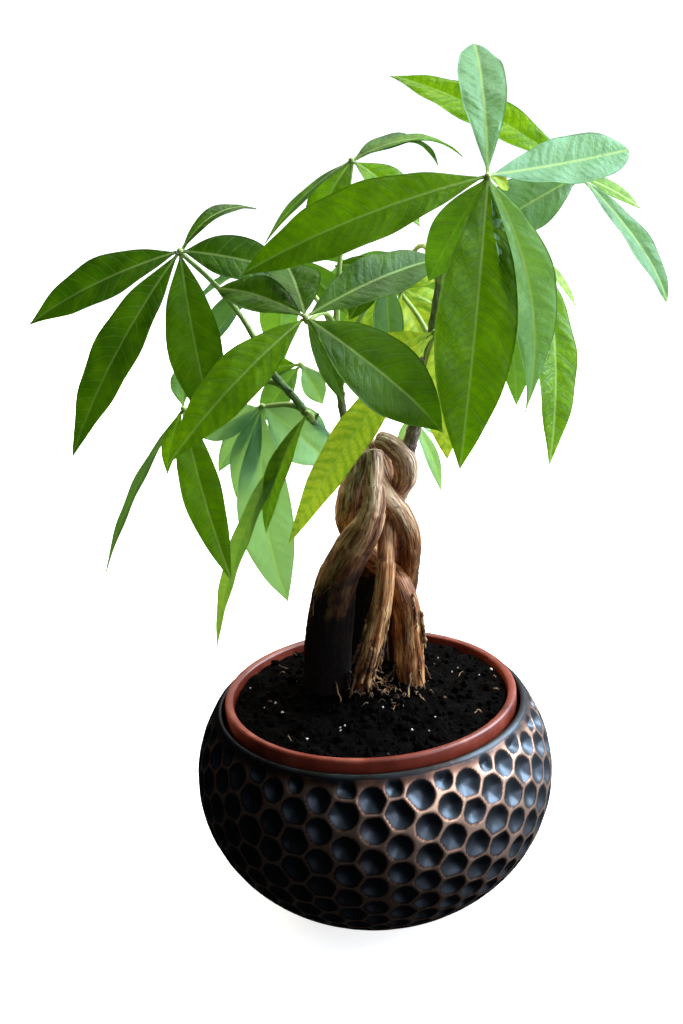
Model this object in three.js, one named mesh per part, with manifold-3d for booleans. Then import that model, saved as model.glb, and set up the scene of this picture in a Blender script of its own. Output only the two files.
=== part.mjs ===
// A potted money tree: five seedlings braided into one trunk, in a plastic nursery pot of soil
// that stands inside a round metal bowl hammered with dimples.
// Millimetres, +Z up. The origin is the middle of the bowl's flat base; the front faces -Y.

import * as THREE from 'three';
import { mergeVertices } from 'three/addons/utils/BufferGeometryUtils.js';
import Module from 'manifold-3d';

const wasm = await Module();
wasm.setup();

// ---- driving dimensions ----

const GAP = 0.3;                       // between pieces that touch

const BOWL = {
  radius: 92.6, middle: 66, halfHeight: 78,   // flattened sphere: equator radius, its height, half height
  mouth: 106, collar: 5.5, wall: 2.5, floor: 3,
  columns: 44, dimpleRows: 18, dimple: 2.2,   // half rows of dimples, and how deep they are
  innerSides: 33,
};

const NURSERY = {
  top: 111.5, rim: 75, lip: 4.3, band: 14, neck: 70.4, foot: 48.5, wall: 1.6, sides: 36,
  drains: 5, drainRadius: 5, drainCircle: 34,
};

const SOIL = { edge: 106.6, crown: 116.5, centre: [2, 8], spread: 42, lump: 0.9 };

const BLADE = {
  thick: 0.8, root: 1.4, start: 1.6, fold: 14, wave: 0.6,   // fold in degrees, the rest in mm
  stations: [0, 0.16, 0.38, 0.62, 0.85, 1],                 // along the midrib, from 0 to 1
  shortest: 50, fewStations: [0, 0.24, 0.56, 0.84, 1],      // a blade shorter than this has fewer
  widest: 0.55, baseCurve: 1.15, tipCurve: 0.95,
};
const PETIOLE = { base: 1.3, tip: 1, sides: 4, steps: 5, knob: 2.6, lift: 0.22 };

// Seedlings: [x, y, z, radius] down from the pruned top to the buried foot, then the shoots on them.
const SEEDLINGS = {
  seedling_front: {
    trunk: [[9, -2, 241, 4.2], [8, -6, 227, 4.8], [7, -8, 215, 5.8], [3, -9, 203, 7.6], [-5, -8, 191, 9],
      [-13, -4, 174, 10.3], [-17, -1, 156, 11.4], [-19, 2, 139, 12], [-21, 4, 122, 12.4], [-22, 5, 84, 12]],
    shoots: {},
  },
  seedling_loop: {
    trunk: [[11, 9, 243, 4.4], [17, 6, 241, 5.2], [23, 4, 235, 5.8], [24, 6, 225, 5.8], [20, 12, 215, 5.4],
      [17, 13, 207, 4.8], [13, 4, 199, 4.6], [12, -4, 190, 4.5], [11, -9, 180, 4.6], [8, -11, 163, 4.8],
      [2, -10, 140, 5.3], [-3, -6, 120, 5.8], [-5, -4, 84, 5.6]],
    shoots: { right: [[24, 6, 233, 4], [28, 5, 245, 3.6], [33, 5, 262, 3.3], [38, 5, 284, 3], [45, 5, 322, 2.2]] },
  },
  seedling_right: {
    trunk: [[5, 14, 241, 4.6], [8, 12, 229, 5.1], [11, 7, 220, 5.4], [15, 3, 214, 5.6], [20, 0, 207, 5.8],
      [23, 0, 198, 6], [24, 4, 185, 6.2], [23, 11, 172, 6.2], [21, 19, 157, 6.2], [19, 23, 140, 6.2],
      [17, 25, 121, 6.4], [17, 26, 84, 6.2]],
    shoots: { middle: [[4, 14, 238, 2.6], [-4, 10, 252, 2.1], [-6, 8, 274, 1.9], [-6, 8, 300, 1.7]] },
  },
  seedling_left: {
    trunk: [[2, 4, 240, 4.4], [1, 3, 233, 5], [-2, 4, 223, 6.4], [-4, 8, 211, 7.2], [-5.5, 15, 199, 7.2],
      [-2, 18, 187, 6.8], [5, 14, 179, 6.4], [13, 6, 174, 6.4], [18, 0, 167, 6.4], [21, -2, 156, 6.6],
      [22, -1, 140, 6.8], [22, 2, 122, 7.2], [23, 3, 84, 7]],
    shoots: { left: [[2, 4, 237, 2.8], [-5, -1, 243, 2.2], [-13, -8, 251, 2], [-22, -16, 265, 1.9],
      [-27, -20, 274, 1.8], [-36, -26, 288, 1.7], [-42, -30, 304, 1.5]] },
  },
  seedling_back: {
    trunk: [[10, 19, 238, 4.8], [14, 20, 223, 5.6], [15, 24, 206, 6.2], [15, 27, 189, 7.2], [10, 29, 173, 8.2],
      [2, 30, 157, 8.6], [-2, 30, 138, 9], [-5, 30, 120, 9], [-6, 30, 84, 9]],
    shoots: {},
  },
};

// Leaves: the hub where the leaflets meet, the shoot and the height on it where the stalk starts, and the way
// that the leaf faces as [heading, pitch] in degrees. Leaflets are [clock, dip, length, width, arch, bow, roll]:
// clock and dip in degrees, from straight up in the leaf's disc and below the disc; arch and bow are parts of
// the length, up and to the right, and roll turns the blade about its own midrib.
const LEAVES = {
  leaf_right_top: { hub: [62, -60, 376], shoot: 'right', from: 318, face: [-85, 35], blades: [
    [7, 25, 97, 22], [72, 22, 80, 25, -0.02], [260, 20, 115, 29], [190, 25, 125, 33, 0.06],
    [173, 28, 103, 24, 0.08, -0.08], [106, 46, 22, 8], [222, 50, 56, 20]] },
  leaf_left_top: { hub: [-74, -20, 346], shoot: 'left', from: 302, face: [-100, 35], blades: [
    [46, 24, 45, 12, 0.16, 0, -50], [250, 12, 82, 24], [213, 20, 109, 26], [171, 28, 84, 26], [95, 22, 50, 22]] },
  leaf_front: { hub: [-18, -70, 323], shoot: 'middle', from: 298, face: [-85, 45], blades: [
    [312, 25, 54, 20], [58, 18, 84, 24, 0.06], [128, 22, 78, 32, 0.1, 0.03], [232, 20, 89, 25],
    [156, 36, 40, 11], [354, 28, 48, 24]] },
  leaf_crown: { hub: [6, 10, 378], shoot: 'middle', from: 300, face: [-80, 60], blades: [
    [65, 15, 56, 17, 0.1, 0, -14], [76, 8, 60, 11, 0.1, 0, -18], [238, 22, 57, 8, 0.06, 0, 20],
    [222, 34, 44, 18], [136, 26, 44, 22]] },
  leaf_right_high: { hub: [113, 20, 363], shoot: 'right', from: 322, face: [-60, 50], blades: [
    [336, 12, 113, 20, 0.08, 0, -20], [157, 18, 73, 22, 0.06, 0.01], [121, 14, 36, 9, 0.03],
    [263, 24, 51, 31, 0.02]] },
  leaf_right_low: { hub: [92, 0, 329], shoot: 'right', from: 306, face: [-50, 50], blades: [
    [202, 28, 99, 22], [143, 30, 31, 8, 0.03], [252, 30, 50, 16], [304, 34, 36, 14]] },
  leaf_left_low: { hub: [-82, 0, 267], shoot: 'left', from: 282, face: [-120, 55], blades: [
    [202, 28, 90, 9, 0.05, 0, 12], [146, 20, 93, 20], [330, 20, 49, 15], [182, 26, 33, 10]] },
  leaf_front_low: { hub: [-21, -35, 271], shoot: 'left', from: 262, face: [-100, 50], blades: [
    [205, 34, 60, 13, 0.1, 0, 15], [216, 46, 134, 11, 0.12, -0.03, 10]] },
  leaf_left_mid: { hub: [-43, -15, 270], shoot: 'left', from: 268, face: [-90, 40], blades: [
    [204, 34, 47, 14], [128, 30, 43, 28], [255, 30, 35, 18], [228, 40, 42, 12], [176, 38, 100, 27, 0.1, 0.05]] },
  leaf_middle_low: { hub: [39, -30, 304], shoot: 'right', from: 272, face: [-90, 50], blades: [
    [224, 28, 119, 19], [176, 44, 60, 18], [264, 34, 56, 18], [98, 40, 46, 16]] },
  leaf_middle_back: { hub: [27, 38, 311], shoot: 'right', from: 290, face: [-80, 45], blades: [
    [165, 28, 46, 30], [62, 4, 27, 16], [112, 30, 34, 16], [238, 30, 46, 20]] },
  leaf_middle: { hub: [19, 10, 324], shoot: 'middle', from: 278, face: [-90, 45], blades: [
    [180, 36, 44, 15], [228, 26, 28, 12], [300, 22, 30, 12]] },
  leaf_small_low: { hub: [28, 20, 251], shoot: 'right', from: 246, face: [-70, 45], blades: [
    [164, 28, 42, 8, 0.1], [206, 34, 20, 8], [118, 32, 20, 8]] },
  leaf_small_left: { hub: [-24, 0, 285], shoot: 'middle', from: 268, face: [-90, 40], blades: [
    [225, 32, 34, 16], [150, 32, 22, 12], [275, 28, 28, 12]] },
  leaf_back_left: { hub: [-30, 76, 322], shoot: 'middle', from: 293, face: [112, 56], blades: [
    [22, 16, 44, 16], [84, 20, 62, 22], [134, 28, 78, 24], [184, 30, 72, 24], [236, 32, 50, 20],
    [292, 24, 36, 14]] },
  leaf_back: { hub: [32, 106, 316], shoot: 'right', from: 316, lift: 0.4, face: [85, 58], blades: [
    [30, 34, 30, 12], [90, 22, 50, 20], [140, 28, 80, 24], [190, 30, 84, 26], [238, 30, 50, 20],
    [322, 34, 28, 12]] },
  leaf_back_right: { hub: [78, 62, 298], shoot: 'right', from: 300, face: [60, 56], blades: [
    [14, 22, 38, 16], [72, 28, 46, 18], [124, 38, 58, 20], [178, 36, 68, 22], [232, 32, 56, 20],
    [296, 26, 26, 12]] },
};

const MATERIALS = {
  bowl: new THREE.MeshStandardMaterial({ color: 0x3b2c26, roughness: 0.42, metalness: 1 }),
  nursery: new THREE.MeshStandardMaterial({ color: 0x8a4636, roughness: 0.5, metalness: 0 }),
  soil: new THREE.MeshStandardMaterial({ color: 0x17120f, roughness: 0.95, metalness: 0 }),
  bark: new THREE.MeshStandardMaterial({ color: 0x6f5443, roughness: 0.85, metalness: 0 }),
  leaf: new THREE.MeshStandardMaterial({ color: 0x3f7d24, roughness: 0.4, metalness: 0 }),
};

// ---- closed solids ----

const UP = new THREE.Vector3(0, 0, 1);
const vector = ([x, y, z]) => new THREE.Vector3(x, y, z);
const radians = THREE.MathUtils.degToRad;
const lerp = THREE.MathUtils.lerp;

function geometryFrom(points, faces) {
  const geometry = new THREE.BufferGeometry();
  geometry.setAttribute('position', new THREE.Float32BufferAttribute(points.flatMap((p) => p.toArray()), 3));
  geometry.setIndex(faces.flat());
  return geometry;
}

function toSolid(geometry) {
  const bare = geometry.clone();
  bare.deleteAttribute('normal');
  bare.deleteAttribute('uv');
  const merged = mergeVertices(bare);
  const index = merged.index ?? { array: merged.attributes.position.array.map((_, i) => i) };
  return new wasm.Manifold(new wasm.Mesh({
    numProp: 3,
    vertProperties: merged.attributes.position.array,
    triVerts: new Uint32Array(index.array),
  }));
}

function toGeometry(solid) {
  const mesh = solid.getMesh();
  const geometry = new THREE.BufferGeometry();
  geometry.setAttribute('position', new THREE.BufferAttribute(mesh.vertProperties, 3));
  geometry.setIndex(new THREE.BufferAttribute(mesh.triVerts, 1));
  geometry.computeVertexNormals();
  return geometry;
}

// A ring is a list of { turn, point } round an axis, or a single point that closes an end.
// skin() joins each ring to the next, whatever their counts, into one closed surface.
function skin(rings) {
  const points = [];
  const faces = [];
  const starts = rings.map((ring) => {
    const start = points.length;
    points.push(...ring.map((item) => item.point));
    return start;
  });
  for (let k = 0; k + 1 < rings.length; k++) {
    const [a, b] = [rings[k], rings[k + 1]];
    const turnOf = (ring, i) => ring[i % ring.length].turn + Math.floor(i / ring.length);
    let [i, j] = [0, 0];
    while (i < a.length || j < b.length) {
      const onA = starts[k] + (i % a.length);
      const onB = starts[k + 1] + (j % b.length);
      const moveA = b.length === 1 || j >= b.length
        || (a.length > 1 && i < a.length && turnOf(a, i + 1) <= turnOf(b, j + 1));
      if (moveA) {
        i += 1;
        if (a.length > 1) faces.push([onA, starts[k] + (i % a.length), onB]);
      } else {
        j += 1;
        faces.push([onA, starts[k + 1] + (j % b.length), onB]);
      }
      if (a.length === 1 && j >= b.length) break;
      if (b.length === 1 && i >= a.length) break;
    }
  }
  return geometryFrom(points, faces);
}

function circle(radius, z, sides, phase = 0) {
  return Array.from({ length: sides }, (_, i) => {
    const turn = (i + phase) / sides;
    const angle = turn * 2 * Math.PI;
    return { turn, point: new THREE.Vector3(radius * Math.cos(angle), radius * Math.sin(angle), z) };
  });
}

const tip = (x, y, z) => [{ turn: 0, point: new THREE.Vector3(x, y, z) }];

// A round limb through [x, y, z, radius] stations, its frame carried along the curve without twisting.
function limb(stations, sides, stepsPer, swell = 0, grow = 0) {
  const curve = new THREE.CatmullRomCurve3(stations.map(vector), false, 'centripetal');
  const count = (stations.length - 1) * stepsPer;
  const side = new THREE.Vector3(1, 0, 0);
  const rings = [];
  for (let k = 0; k <= count; k++) {
    const t = k / count;
    const centre = curve.getPoint(t);
    const along = curve.getTangent(t);
    side.addScaledVector(along, -side.dot(along)).normalize();
    const across = along.clone().cross(side);
    const spot = t * (stations.length - 1);
    const low = Math.min(Math.floor(spot), stations.length - 2);
    const radius = lerp(stations[low][3], stations[low + 1][3], spot - low);
    const ring = Array.from({ length: sides }, (_, i) => {
      const turn = i / sides;
      const angle = turn * 2 * Math.PI;
      const ribbed = radius * (1 + swell * Math.cos(3 * angle + 4 * t)) + grow;
      const point = centre.clone()
        .addScaledVector(side, ribbed * Math.cos(angle))
        .addScaledVector(across, ribbed * Math.sin(angle));
      return { turn, point };
    });
    if (k === 0) rings.push([{ turn: 0, point: centre.clone().addScaledVector(along, -grow - 0.15 * radius) }]);
    rings.push(ring);
    if (k === count) rings.push([{ turn: 0, point: centre.clone().addScaledVector(along, grow + 0.15 * radius) }]);
  }
  return skin(rings);
}

// ---- the bowl: a flattened sphere with rows of six-sided dimples ----

function bowlRadius(z, inset = 0) {
  const rise = (z - BOWL.middle) / (BOWL.halfHeight - inset);
  return (BOWL.radius - inset) * Math.sqrt(1 - rise * rise);
}

function dimpleRow(row, z, pressed) {
  const spokes = BOWL.columns * 3;
  const ring = [];
  for (let spoke = row % 2; spoke < spokes; spoke += 2) {
    const turn = spoke / spokes;
    const centre = spoke % 3 === 0;
    const radius = bowlRadius(z);
    const slope = (z - BOWL.middle) / BOWL.halfHeight;
    const depth = centre && pressed ? BOWL.dimple : 0;
    const angle = turn * 2 * Math.PI;
    const reach = radius - depth * Math.sqrt(1 - slope * slope);
    ring.push({ turn, point: new THREE.Vector3(reach * Math.cos(angle), reach * Math.sin(angle), z - depth * slope) });
  }
  return ring;
}

function outerPot() {
  const rowTurn = Math.sqrt(3) * 2 * Math.PI / (BOWL.columns * 3);   // half a dimple's height, as an angle
  const heights = [BOWL.mouth - BOWL.collar];
  while (heights.length <= BOWL.dimpleRows) {
    let z = heights[0];
    const parts = 20;
    for (let k = 0; k < parts; k++) {
      const drop = (bowlRadius(z - 0.01) - bowlRadius(z + 0.01)) / 0.02;
      z -= rowTurn * bowlRadius(z) / Math.hypot(1, drop) / parts;
    }
    heights.unshift(z);
  }
  const sides = BOWL.columns * 1.5;
  const last = heights.length - 1;
  const rows = heights.map((z, i) => dimpleRow(i, z, i > 0 && i < last));
  const inner = (z) => circle(bowlRadius(z, BOWL.wall), z, BOWL.innerSides);
  const depths = [BOWL.mouth - 9, 74, 46, 20, BOWL.floor];
  return skin([
    tip(0, 0, 0),
    circle(bowlRadius(0), 0, sides),
    ...rows,
    circle(bowlRadius(BOWL.mouth - 1.2), BOWL.mouth - 1.2, sides),
    circle(bowlRadius(BOWL.mouth) - 0.7, BOWL.mouth, sides),
    circle(bowlRadius(BOWL.mouth) - BOWL.wall, BOWL.mouth, BOWL.innerSides),
    ...depths.map(inner),
    tip(0, 0, BOWL.floor),
  ]);
}

// ---- the nursery pot and the soil in it ----

const nurseryBase = BOWL.floor + GAP;
const nurseryNeck = NURSERY.top - NURSERY.band;

function nurseryInside(z) {
  const rise = (z - nurseryBase) / (nurseryNeck - nurseryBase);
  return lerp(NURSERY.foot, NURSERY.neck, rise) - NURSERY.wall;
}

function innerPot() {
  const { top, rim, lip, neck, foot, wall, sides } = NURSERY;
  const ring = (radius, z) => circle(radius, z, sides);
  const shell = skin([
    tip(0, 0, nurseryBase),
    ring(foot, nurseryBase),
    ring(neck, nurseryNeck - 3),
    ring(rim - 1.2, nurseryNeck),
    ring(rim, top - 1.2),
    ring(rim - 1.2, top),
    ring(rim - lip + 0.8, top),
    ring(rim - lip, top - 1),
    ring(nurseryInside(nurseryNeck), nurseryNeck),
    ring(nurseryInside(nurseryBase + wall), nurseryBase + wall),
    tip(0, 0, nurseryBase + wall),
  ]);
  let pot = toSolid(shell);
  for (let k = 0; k < NURSERY.drains; k++) {
    const angle = 2 * Math.PI * (k + 0.5) / NURSERY.drains;
    const hole = new THREE.CylinderGeometry(NURSERY.drainRadius, NURSERY.drainRadius, 6, 8);
    hole.rotateX(Math.PI / 2);
    hole.translate(NURSERY.drainCircle * Math.cos(angle), NURSERY.drainCircle * Math.sin(angle), nurseryBase);
    pot = pot.subtract(toSolid(hole));
  }
  return toGeometry(pot);
}

function soilPlug(stems) {
  const { edge, crown, centre, spread, lump } = SOIL;
  const side = (z) => nurseryInside(z) - GAP;
  const rough = (x, y) => lump * (Math.sin(x * 0.31 + 1) * Math.cos(y * 0.27) + 0.6 * Math.sin(x * 0.17 - y * 0.23));
  const mound = (reach, sides) => circle(reach, 0, sides).map(({ turn, point }) => {
    const near = Math.exp(-((point.x - centre[0]) ** 2 + (point.y - centre[1]) ** 2) / spread ** 2);
    const z = edge + (crown - edge) * near + rough(point.x, point.y);
    return { turn, point: new THREE.Vector3(point.x, point.y, z) };
  });
  const base = nurseryBase + NURSERY.wall + GAP;
  let plug = toSolid(skin([
    tip(0, 0, base),
    circle(side(base), base, NURSERY.sides),
    circle(side(edge - 9), edge - 9, NURSERY.sides),
    circle(side(edge - 9) + 0.5, edge, NURSERY.sides),
    mound(58, NURSERY.sides),
    mound(44, 24),
    mound(28, 18),
    mound(12, 10),
    tip(0, 0, crown),
  ]));
  for (const stem of stems) plug = plug.subtract(stem);
  return toGeometry(keepLargest(plug));
}

// What a cut leaves over beside the main body is dropped.
function keepLargest(solid) {
  return solid.decompose().sort((a, b) => b.volume() - a.volume())[0];
}

// ---- the braided seedlings ----

function seedlings() {
  const done = [];
  const grown = [];
  const shootCurves = {};
  for (const [name, { trunk, shoots }] of Object.entries(SEEDLINGS)) {
    let body = toSolid(limb(trunk, 8, 2, 0.05));
    let wide = toSolid(limb(trunk, 8, 2, 0.05, GAP));
    for (const [shoot, stations] of Object.entries(shoots)) {
      body = body.add(toSolid(limb(stations, 6, 2)));
      wide = wide.add(toSolid(limb(stations, 6, 2, 0, GAP)));
      shootCurves[shoot] = new THREE.CatmullRomCurve3(stations.map(vector), false, 'centripetal');
    }
    for (const other of grown) body = body.subtract(other);
    done.push({ name, solid: keepLargest(body) });
    grown.push(wide);
  }
  return { done, grown, shootCurves };
}

// ---- leaves ----

function leafFrame([heading, pitch]) {
  const [h, p] = [radians(heading), radians(pitch)];
  const normal = new THREE.Vector3(Math.cos(h) * Math.cos(p), Math.sin(h) * Math.cos(p), Math.sin(p));
  const up = UP.clone().addScaledVector(normal, -normal.z).normalize();
  return { normal, up, right: up.clone().cross(normal) };
}

function bladeHalfWidth(s) {
  const shape = (x) => x ** BLADE.baseCurve * (1 - x) ** BLADE.tipCurve;
  return shape(s) / shape(BLADE.widest) / 2;
}

function blade(hub, frame, [clock, dip, length, width, arch = 0.08, bow = 0, roll = 0]) {
  const [c, d] = [radians(clock), radians(dip)];
  const along = frame.up.clone().multiplyScalar(Math.cos(c)).addScaledVector(frame.right, Math.sin(c))
    .multiplyScalar(Math.cos(d)).addScaledVector(frame.normal, -Math.sin(d));
  const top = frame.normal.clone().addScaledVector(along, -frame.normal.dot(along)).normalize()
    .applyAxisAngle(along, radians(roll));
  const across = along.clone().cross(top);
  const fold = radians(BLADE.fold);
  const stations = length < BLADE.shortest ? BLADE.fewStations : BLADE.stations;
  const points = [];
  const faces = [];
  stations.forEach((s, k) => {
    const rise = 4 * s * (1 - s);
    const slope = 4 * (1 - 2 * s) * arch;
    const middle = hub.clone().addScaledVector(along, lerp(BLADE.start, length, s))
      .addScaledVector(top, arch * rise * length).addScaledVector(across, bow * rise * length);
    const lift = top.clone().addScaledVector(along, -slope).normalize();
    const half = Math.max(bladeHalfWidth(s) * width, k === 0 ? BLADE.root / 2 : 0.4);
    const wave = k % 2 ? BLADE.wave : -BLADE.wave;
    const ripple = half > 2 ? wave : 0;
    const edge = (sign) => middle.clone().addScaledVector(across, sign * half * Math.cos(fold))
      .addScaledVector(lift, half * Math.sin(fold) + sign * ripple);
    const row = [edge(-1), middle, edge(1)];
    points.push(...row.map((p) => p.clone().addScaledVector(lift, BLADE.thick / 2)));
    points.push(...row.map((p) => p.clone().addScaledVector(lift, -BLADE.thick / 2)));
  });
  // Six points a station: left, middle and right above, then the same below. Both faces split alike.
  const quad = (p, q, r, t) => faces.push([p, q, r], [p, r, t]);
  for (let k = 0; k + 1 < stations.length; k++) {
    const [left, middle, right, leftLow, middleLow, rightLow] = [0, 1, 2, 3, 4, 5].map((i) => 6 * k + i);
    quad(middle, middle + 6, left + 6, left);
    quad(middle, right, right + 6, middle + 6);
    quad(middleLow, leftLow, leftLow + 6, middleLow + 6);
    quad(middleLow, middleLow + 6, rightLow + 6, rightLow);
    quad(left, left + 6, leftLow + 6, leftLow);
    quad(right, rightLow, rightLow + 6, right + 6);
  }
  const end = points.length - 6;
  quad(0, 3, 4, 1);
  quad(1, 4, 5, 2);
  quad(end, end + 1, end + 4, end + 3);
  quad(end + 1, end + 2, end + 5, end + 4);
  return toSolid(geometryFrom(points, faces));
}

function stalk(start, hub, normal, lift) {
  const span = start.distanceTo(hub);
  const bends = new THREE.CubicBezierCurve3(
    start,
    start.clone().lerp(hub, 0.35).addScaledVector(UP, lift * span),
    hub.clone().addScaledVector(normal, -0.2 * span),
    hub,
  );
  const stations = bends.getPoints(PETIOLE.steps)
    .map((p, i) => [...p.toArray(), lerp(PETIOLE.base, PETIOLE.tip, i / PETIOLE.steps)]);
  return toSolid(limb(stations, PETIOLE.sides, 1));
}

function leaf({ hub, shoot, from, face, blades, lift = PETIOLE.lift }, shootCurves, stems) {
  const centre = vector(hub);
  const frame = leafFrame(face);
  const curve = shootCurves[shoot];
  const start = curve.getPoints(80).reduce((best, p) => (Math.abs(p.z - from) < Math.abs(best.z - from) ? p : best));
  const knob = new THREE.OctahedronGeometry(PETIOLE.knob, 0).translate(...hub);
  let body = stalk(start, centre, frame.normal, lift).add(toSolid(knob));
  for (const spec of blades) body = body.add(blade(centre, frame, spec));
  for (const stem of stems) body = body.subtract(stem);
  return toGeometry(keepLargest(body));
}

// ---- the object ----

const plant = new THREE.Group();

function addPiece(name, geometry, material) {
  const mesh = new THREE.Mesh(geometry, material);
  mesh.name = name;
  plant.add(mesh);
}

const { done, grown, shootCurves } = seedlings();
addPiece('outer_pot', outerPot(), MATERIALS.bowl);
addPiece('inner_pot', innerPot(), MATERIALS.nursery);
addPiece('soil', soilPlug(grown), MATERIALS.soil);
for (const { name, solid } of done) addPiece(name, toGeometry(solid), MATERIALS.bark);
for (const [name, spec] of Object.entries(LEAVES)) addPiece(name, leaf(spec, shootCurves, grown), MATERIALS.leaf);

export default plant;
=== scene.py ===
"""A potted money tree: five braided seedlings and their leaves, in a plastic nursery pot of damp soil that
stands inside a round bowl of hammered metal with an antique copper finish.

Lengths are in millimetres until make_piece() turns them into metres. +Z is up and the front faces -Y.
"""

import math

import bmesh
import bpy
import numpy as np
from mathutils import Matrix, Vector, noise


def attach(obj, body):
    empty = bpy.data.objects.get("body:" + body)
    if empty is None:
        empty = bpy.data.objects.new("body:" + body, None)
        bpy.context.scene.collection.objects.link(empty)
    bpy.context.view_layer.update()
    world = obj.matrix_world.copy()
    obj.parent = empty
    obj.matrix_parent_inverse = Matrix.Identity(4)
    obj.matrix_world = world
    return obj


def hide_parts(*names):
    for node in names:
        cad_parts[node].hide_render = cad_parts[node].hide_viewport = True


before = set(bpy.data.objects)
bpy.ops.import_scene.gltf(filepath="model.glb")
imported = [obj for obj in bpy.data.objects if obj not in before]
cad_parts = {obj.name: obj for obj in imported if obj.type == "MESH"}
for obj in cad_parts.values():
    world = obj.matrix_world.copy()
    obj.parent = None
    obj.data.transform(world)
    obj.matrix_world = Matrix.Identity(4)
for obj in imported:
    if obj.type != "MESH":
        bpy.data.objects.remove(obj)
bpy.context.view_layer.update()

MM = 0.001
rng = np.random.default_rng(17)

# ---- driving dimensions ----

# The bowl is a flattened sphere, widest at its middle. Its dimples stand in half rows, six spokes apart in
# each, and every other half row is moved on by three. A hollow's reach is counted in spokes too.
BOWL = {"radius": 92.6, "middle": 66, "half_height": 78, "mouth": 106, "collar": 4.4, "wall": 2.5, "floor": 3,
        "spokes": 132, "half_rows": 18, "dimple": 3.0, "hollow": 1.84, "ridge": 0.72, "inner_inset": 4.3}
NURSERY = {"top": 111.5, "rim": 75, "lip": 4.3, "band": 14, "neck": 70.4, "foot": 48.5, "wall": 1.6,
           "drains": 5, "drain_radius": 5, "drain_circle": 34}
SOIL = {"edge": 107.2, "crown": 116.5, "centre": (2, 8), "spread": 42, "lump": 0.9, "rim_drop": 9}

# ---- sizes of the finer detail, and of the studio ----

# How many loose bits lie on the soil, and how far out from the middle of the pot.
LITTER = {"crumbs": 620, "grains": 26, "threads": 90, "reach": 68}
# The bark's relief: how far its lumps, ridges and fine strands stand out, and its creases go in.
RELIEF = {"lump": 0.9, "ridge": 0.4, "strand": 0.14, "crease": 0.3, "swell": 0.22, "rib": 0.04}
# Where strips of bark peel off, and how many on a ragged stem and on each of the others.
PEELING = {"bottom": 114, "top": 180, "loop_top": 158, "many": 16, "few": 3}
RAGGED_STEMS = ("seedling_left", "seedling_loop")
# How many points go round a stem and round a shoot.
STEM_SIDES = 60
SHOOT_SIDES = 24
# A leaflet's blade. The side veins lean forward by vein_slope and curve by vein_bend, keel is how far the
# midrib stands out below, and margin is half the width that the tip keeps.
BLADE = {"start": 1.6, "root": 1.4, "fold": 14, "thick": 0.5, "base_curve": 1.15, "tip_curve": 1.16,
         "side_veins": 5.4, "vein_slope": 0.36, "vein_bend": 0.03, "quilting": 0.62, "wave": 0.7,
         "wave_length": 27, "keel": 0.75, "margin": 0.12}
PETIOLE = {"base": 1.3, "tip": 1.0, "knob": 1.35, "lift": 0.22, "rings": 34}
# The photograph's view: angles in degrees, the lens in millimetres and the place in metres.
VIEW = {"pitch": 19.68, "yaw": -0.73, "tilt": 3.65, "lens": 52.66, "sensor": 36,
        "place": (0, -0.697108, 0.458480)}
# The white paper, in metres: a flat round floor, a quarter turn up and a wall.
BACKDROP = {"inner": 0.4, "flat": 3.2, "sweep": 1.2, "wall": 6.0, "sides": 96, "below": 0.0002}
# The room's own light: the side that it comes from, its weakest and strongest, and its colour.
ROOM = {"side": (0.84, 0.12, 0.53), "weakest": 0.01, "strongest": 1.25, "code": "#e4eefb"}
# Each lamp's place, what it is aimed at and its size, in metres, its power in watts and its colour. One that
# is not mirrored lights the leaves but leaves no streak on the glossy pots.
LAMPS = {
    "window": dict(place=(1.25, 0.25, 1.0), aim=(0, 0, 0.25), size=(1.2, 1.3), power=84, code="#d6ecff"),
    "ceiling": dict(place=(0.35, 0.9, 1.7), aim=(0, 0, 0.28), size=(1.4, 1.1), power=24, code="#f6ffe8"),
    "behind": dict(place=(0.2, 1.4, 0.45), aim=(0, 0, 0.28), size=(1.8, 0.9), power=42, code="#fff8dc",
                   mirrored=False),
    "behind_left": dict(place=(-0.75, 1.0, 0.25), aim=(-0.05, 0, 0.27), size=(0.8, 0.8), power=25,
                        code="#fff8dc", mirrored=False),
    "front": dict(place=(1.25, -1.25, 0.75), aim=(0, 0, 0.15), size=(0.9, 0.9), power=9, code="#eef2ff"),
}

# ---- the plant's form ----

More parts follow.
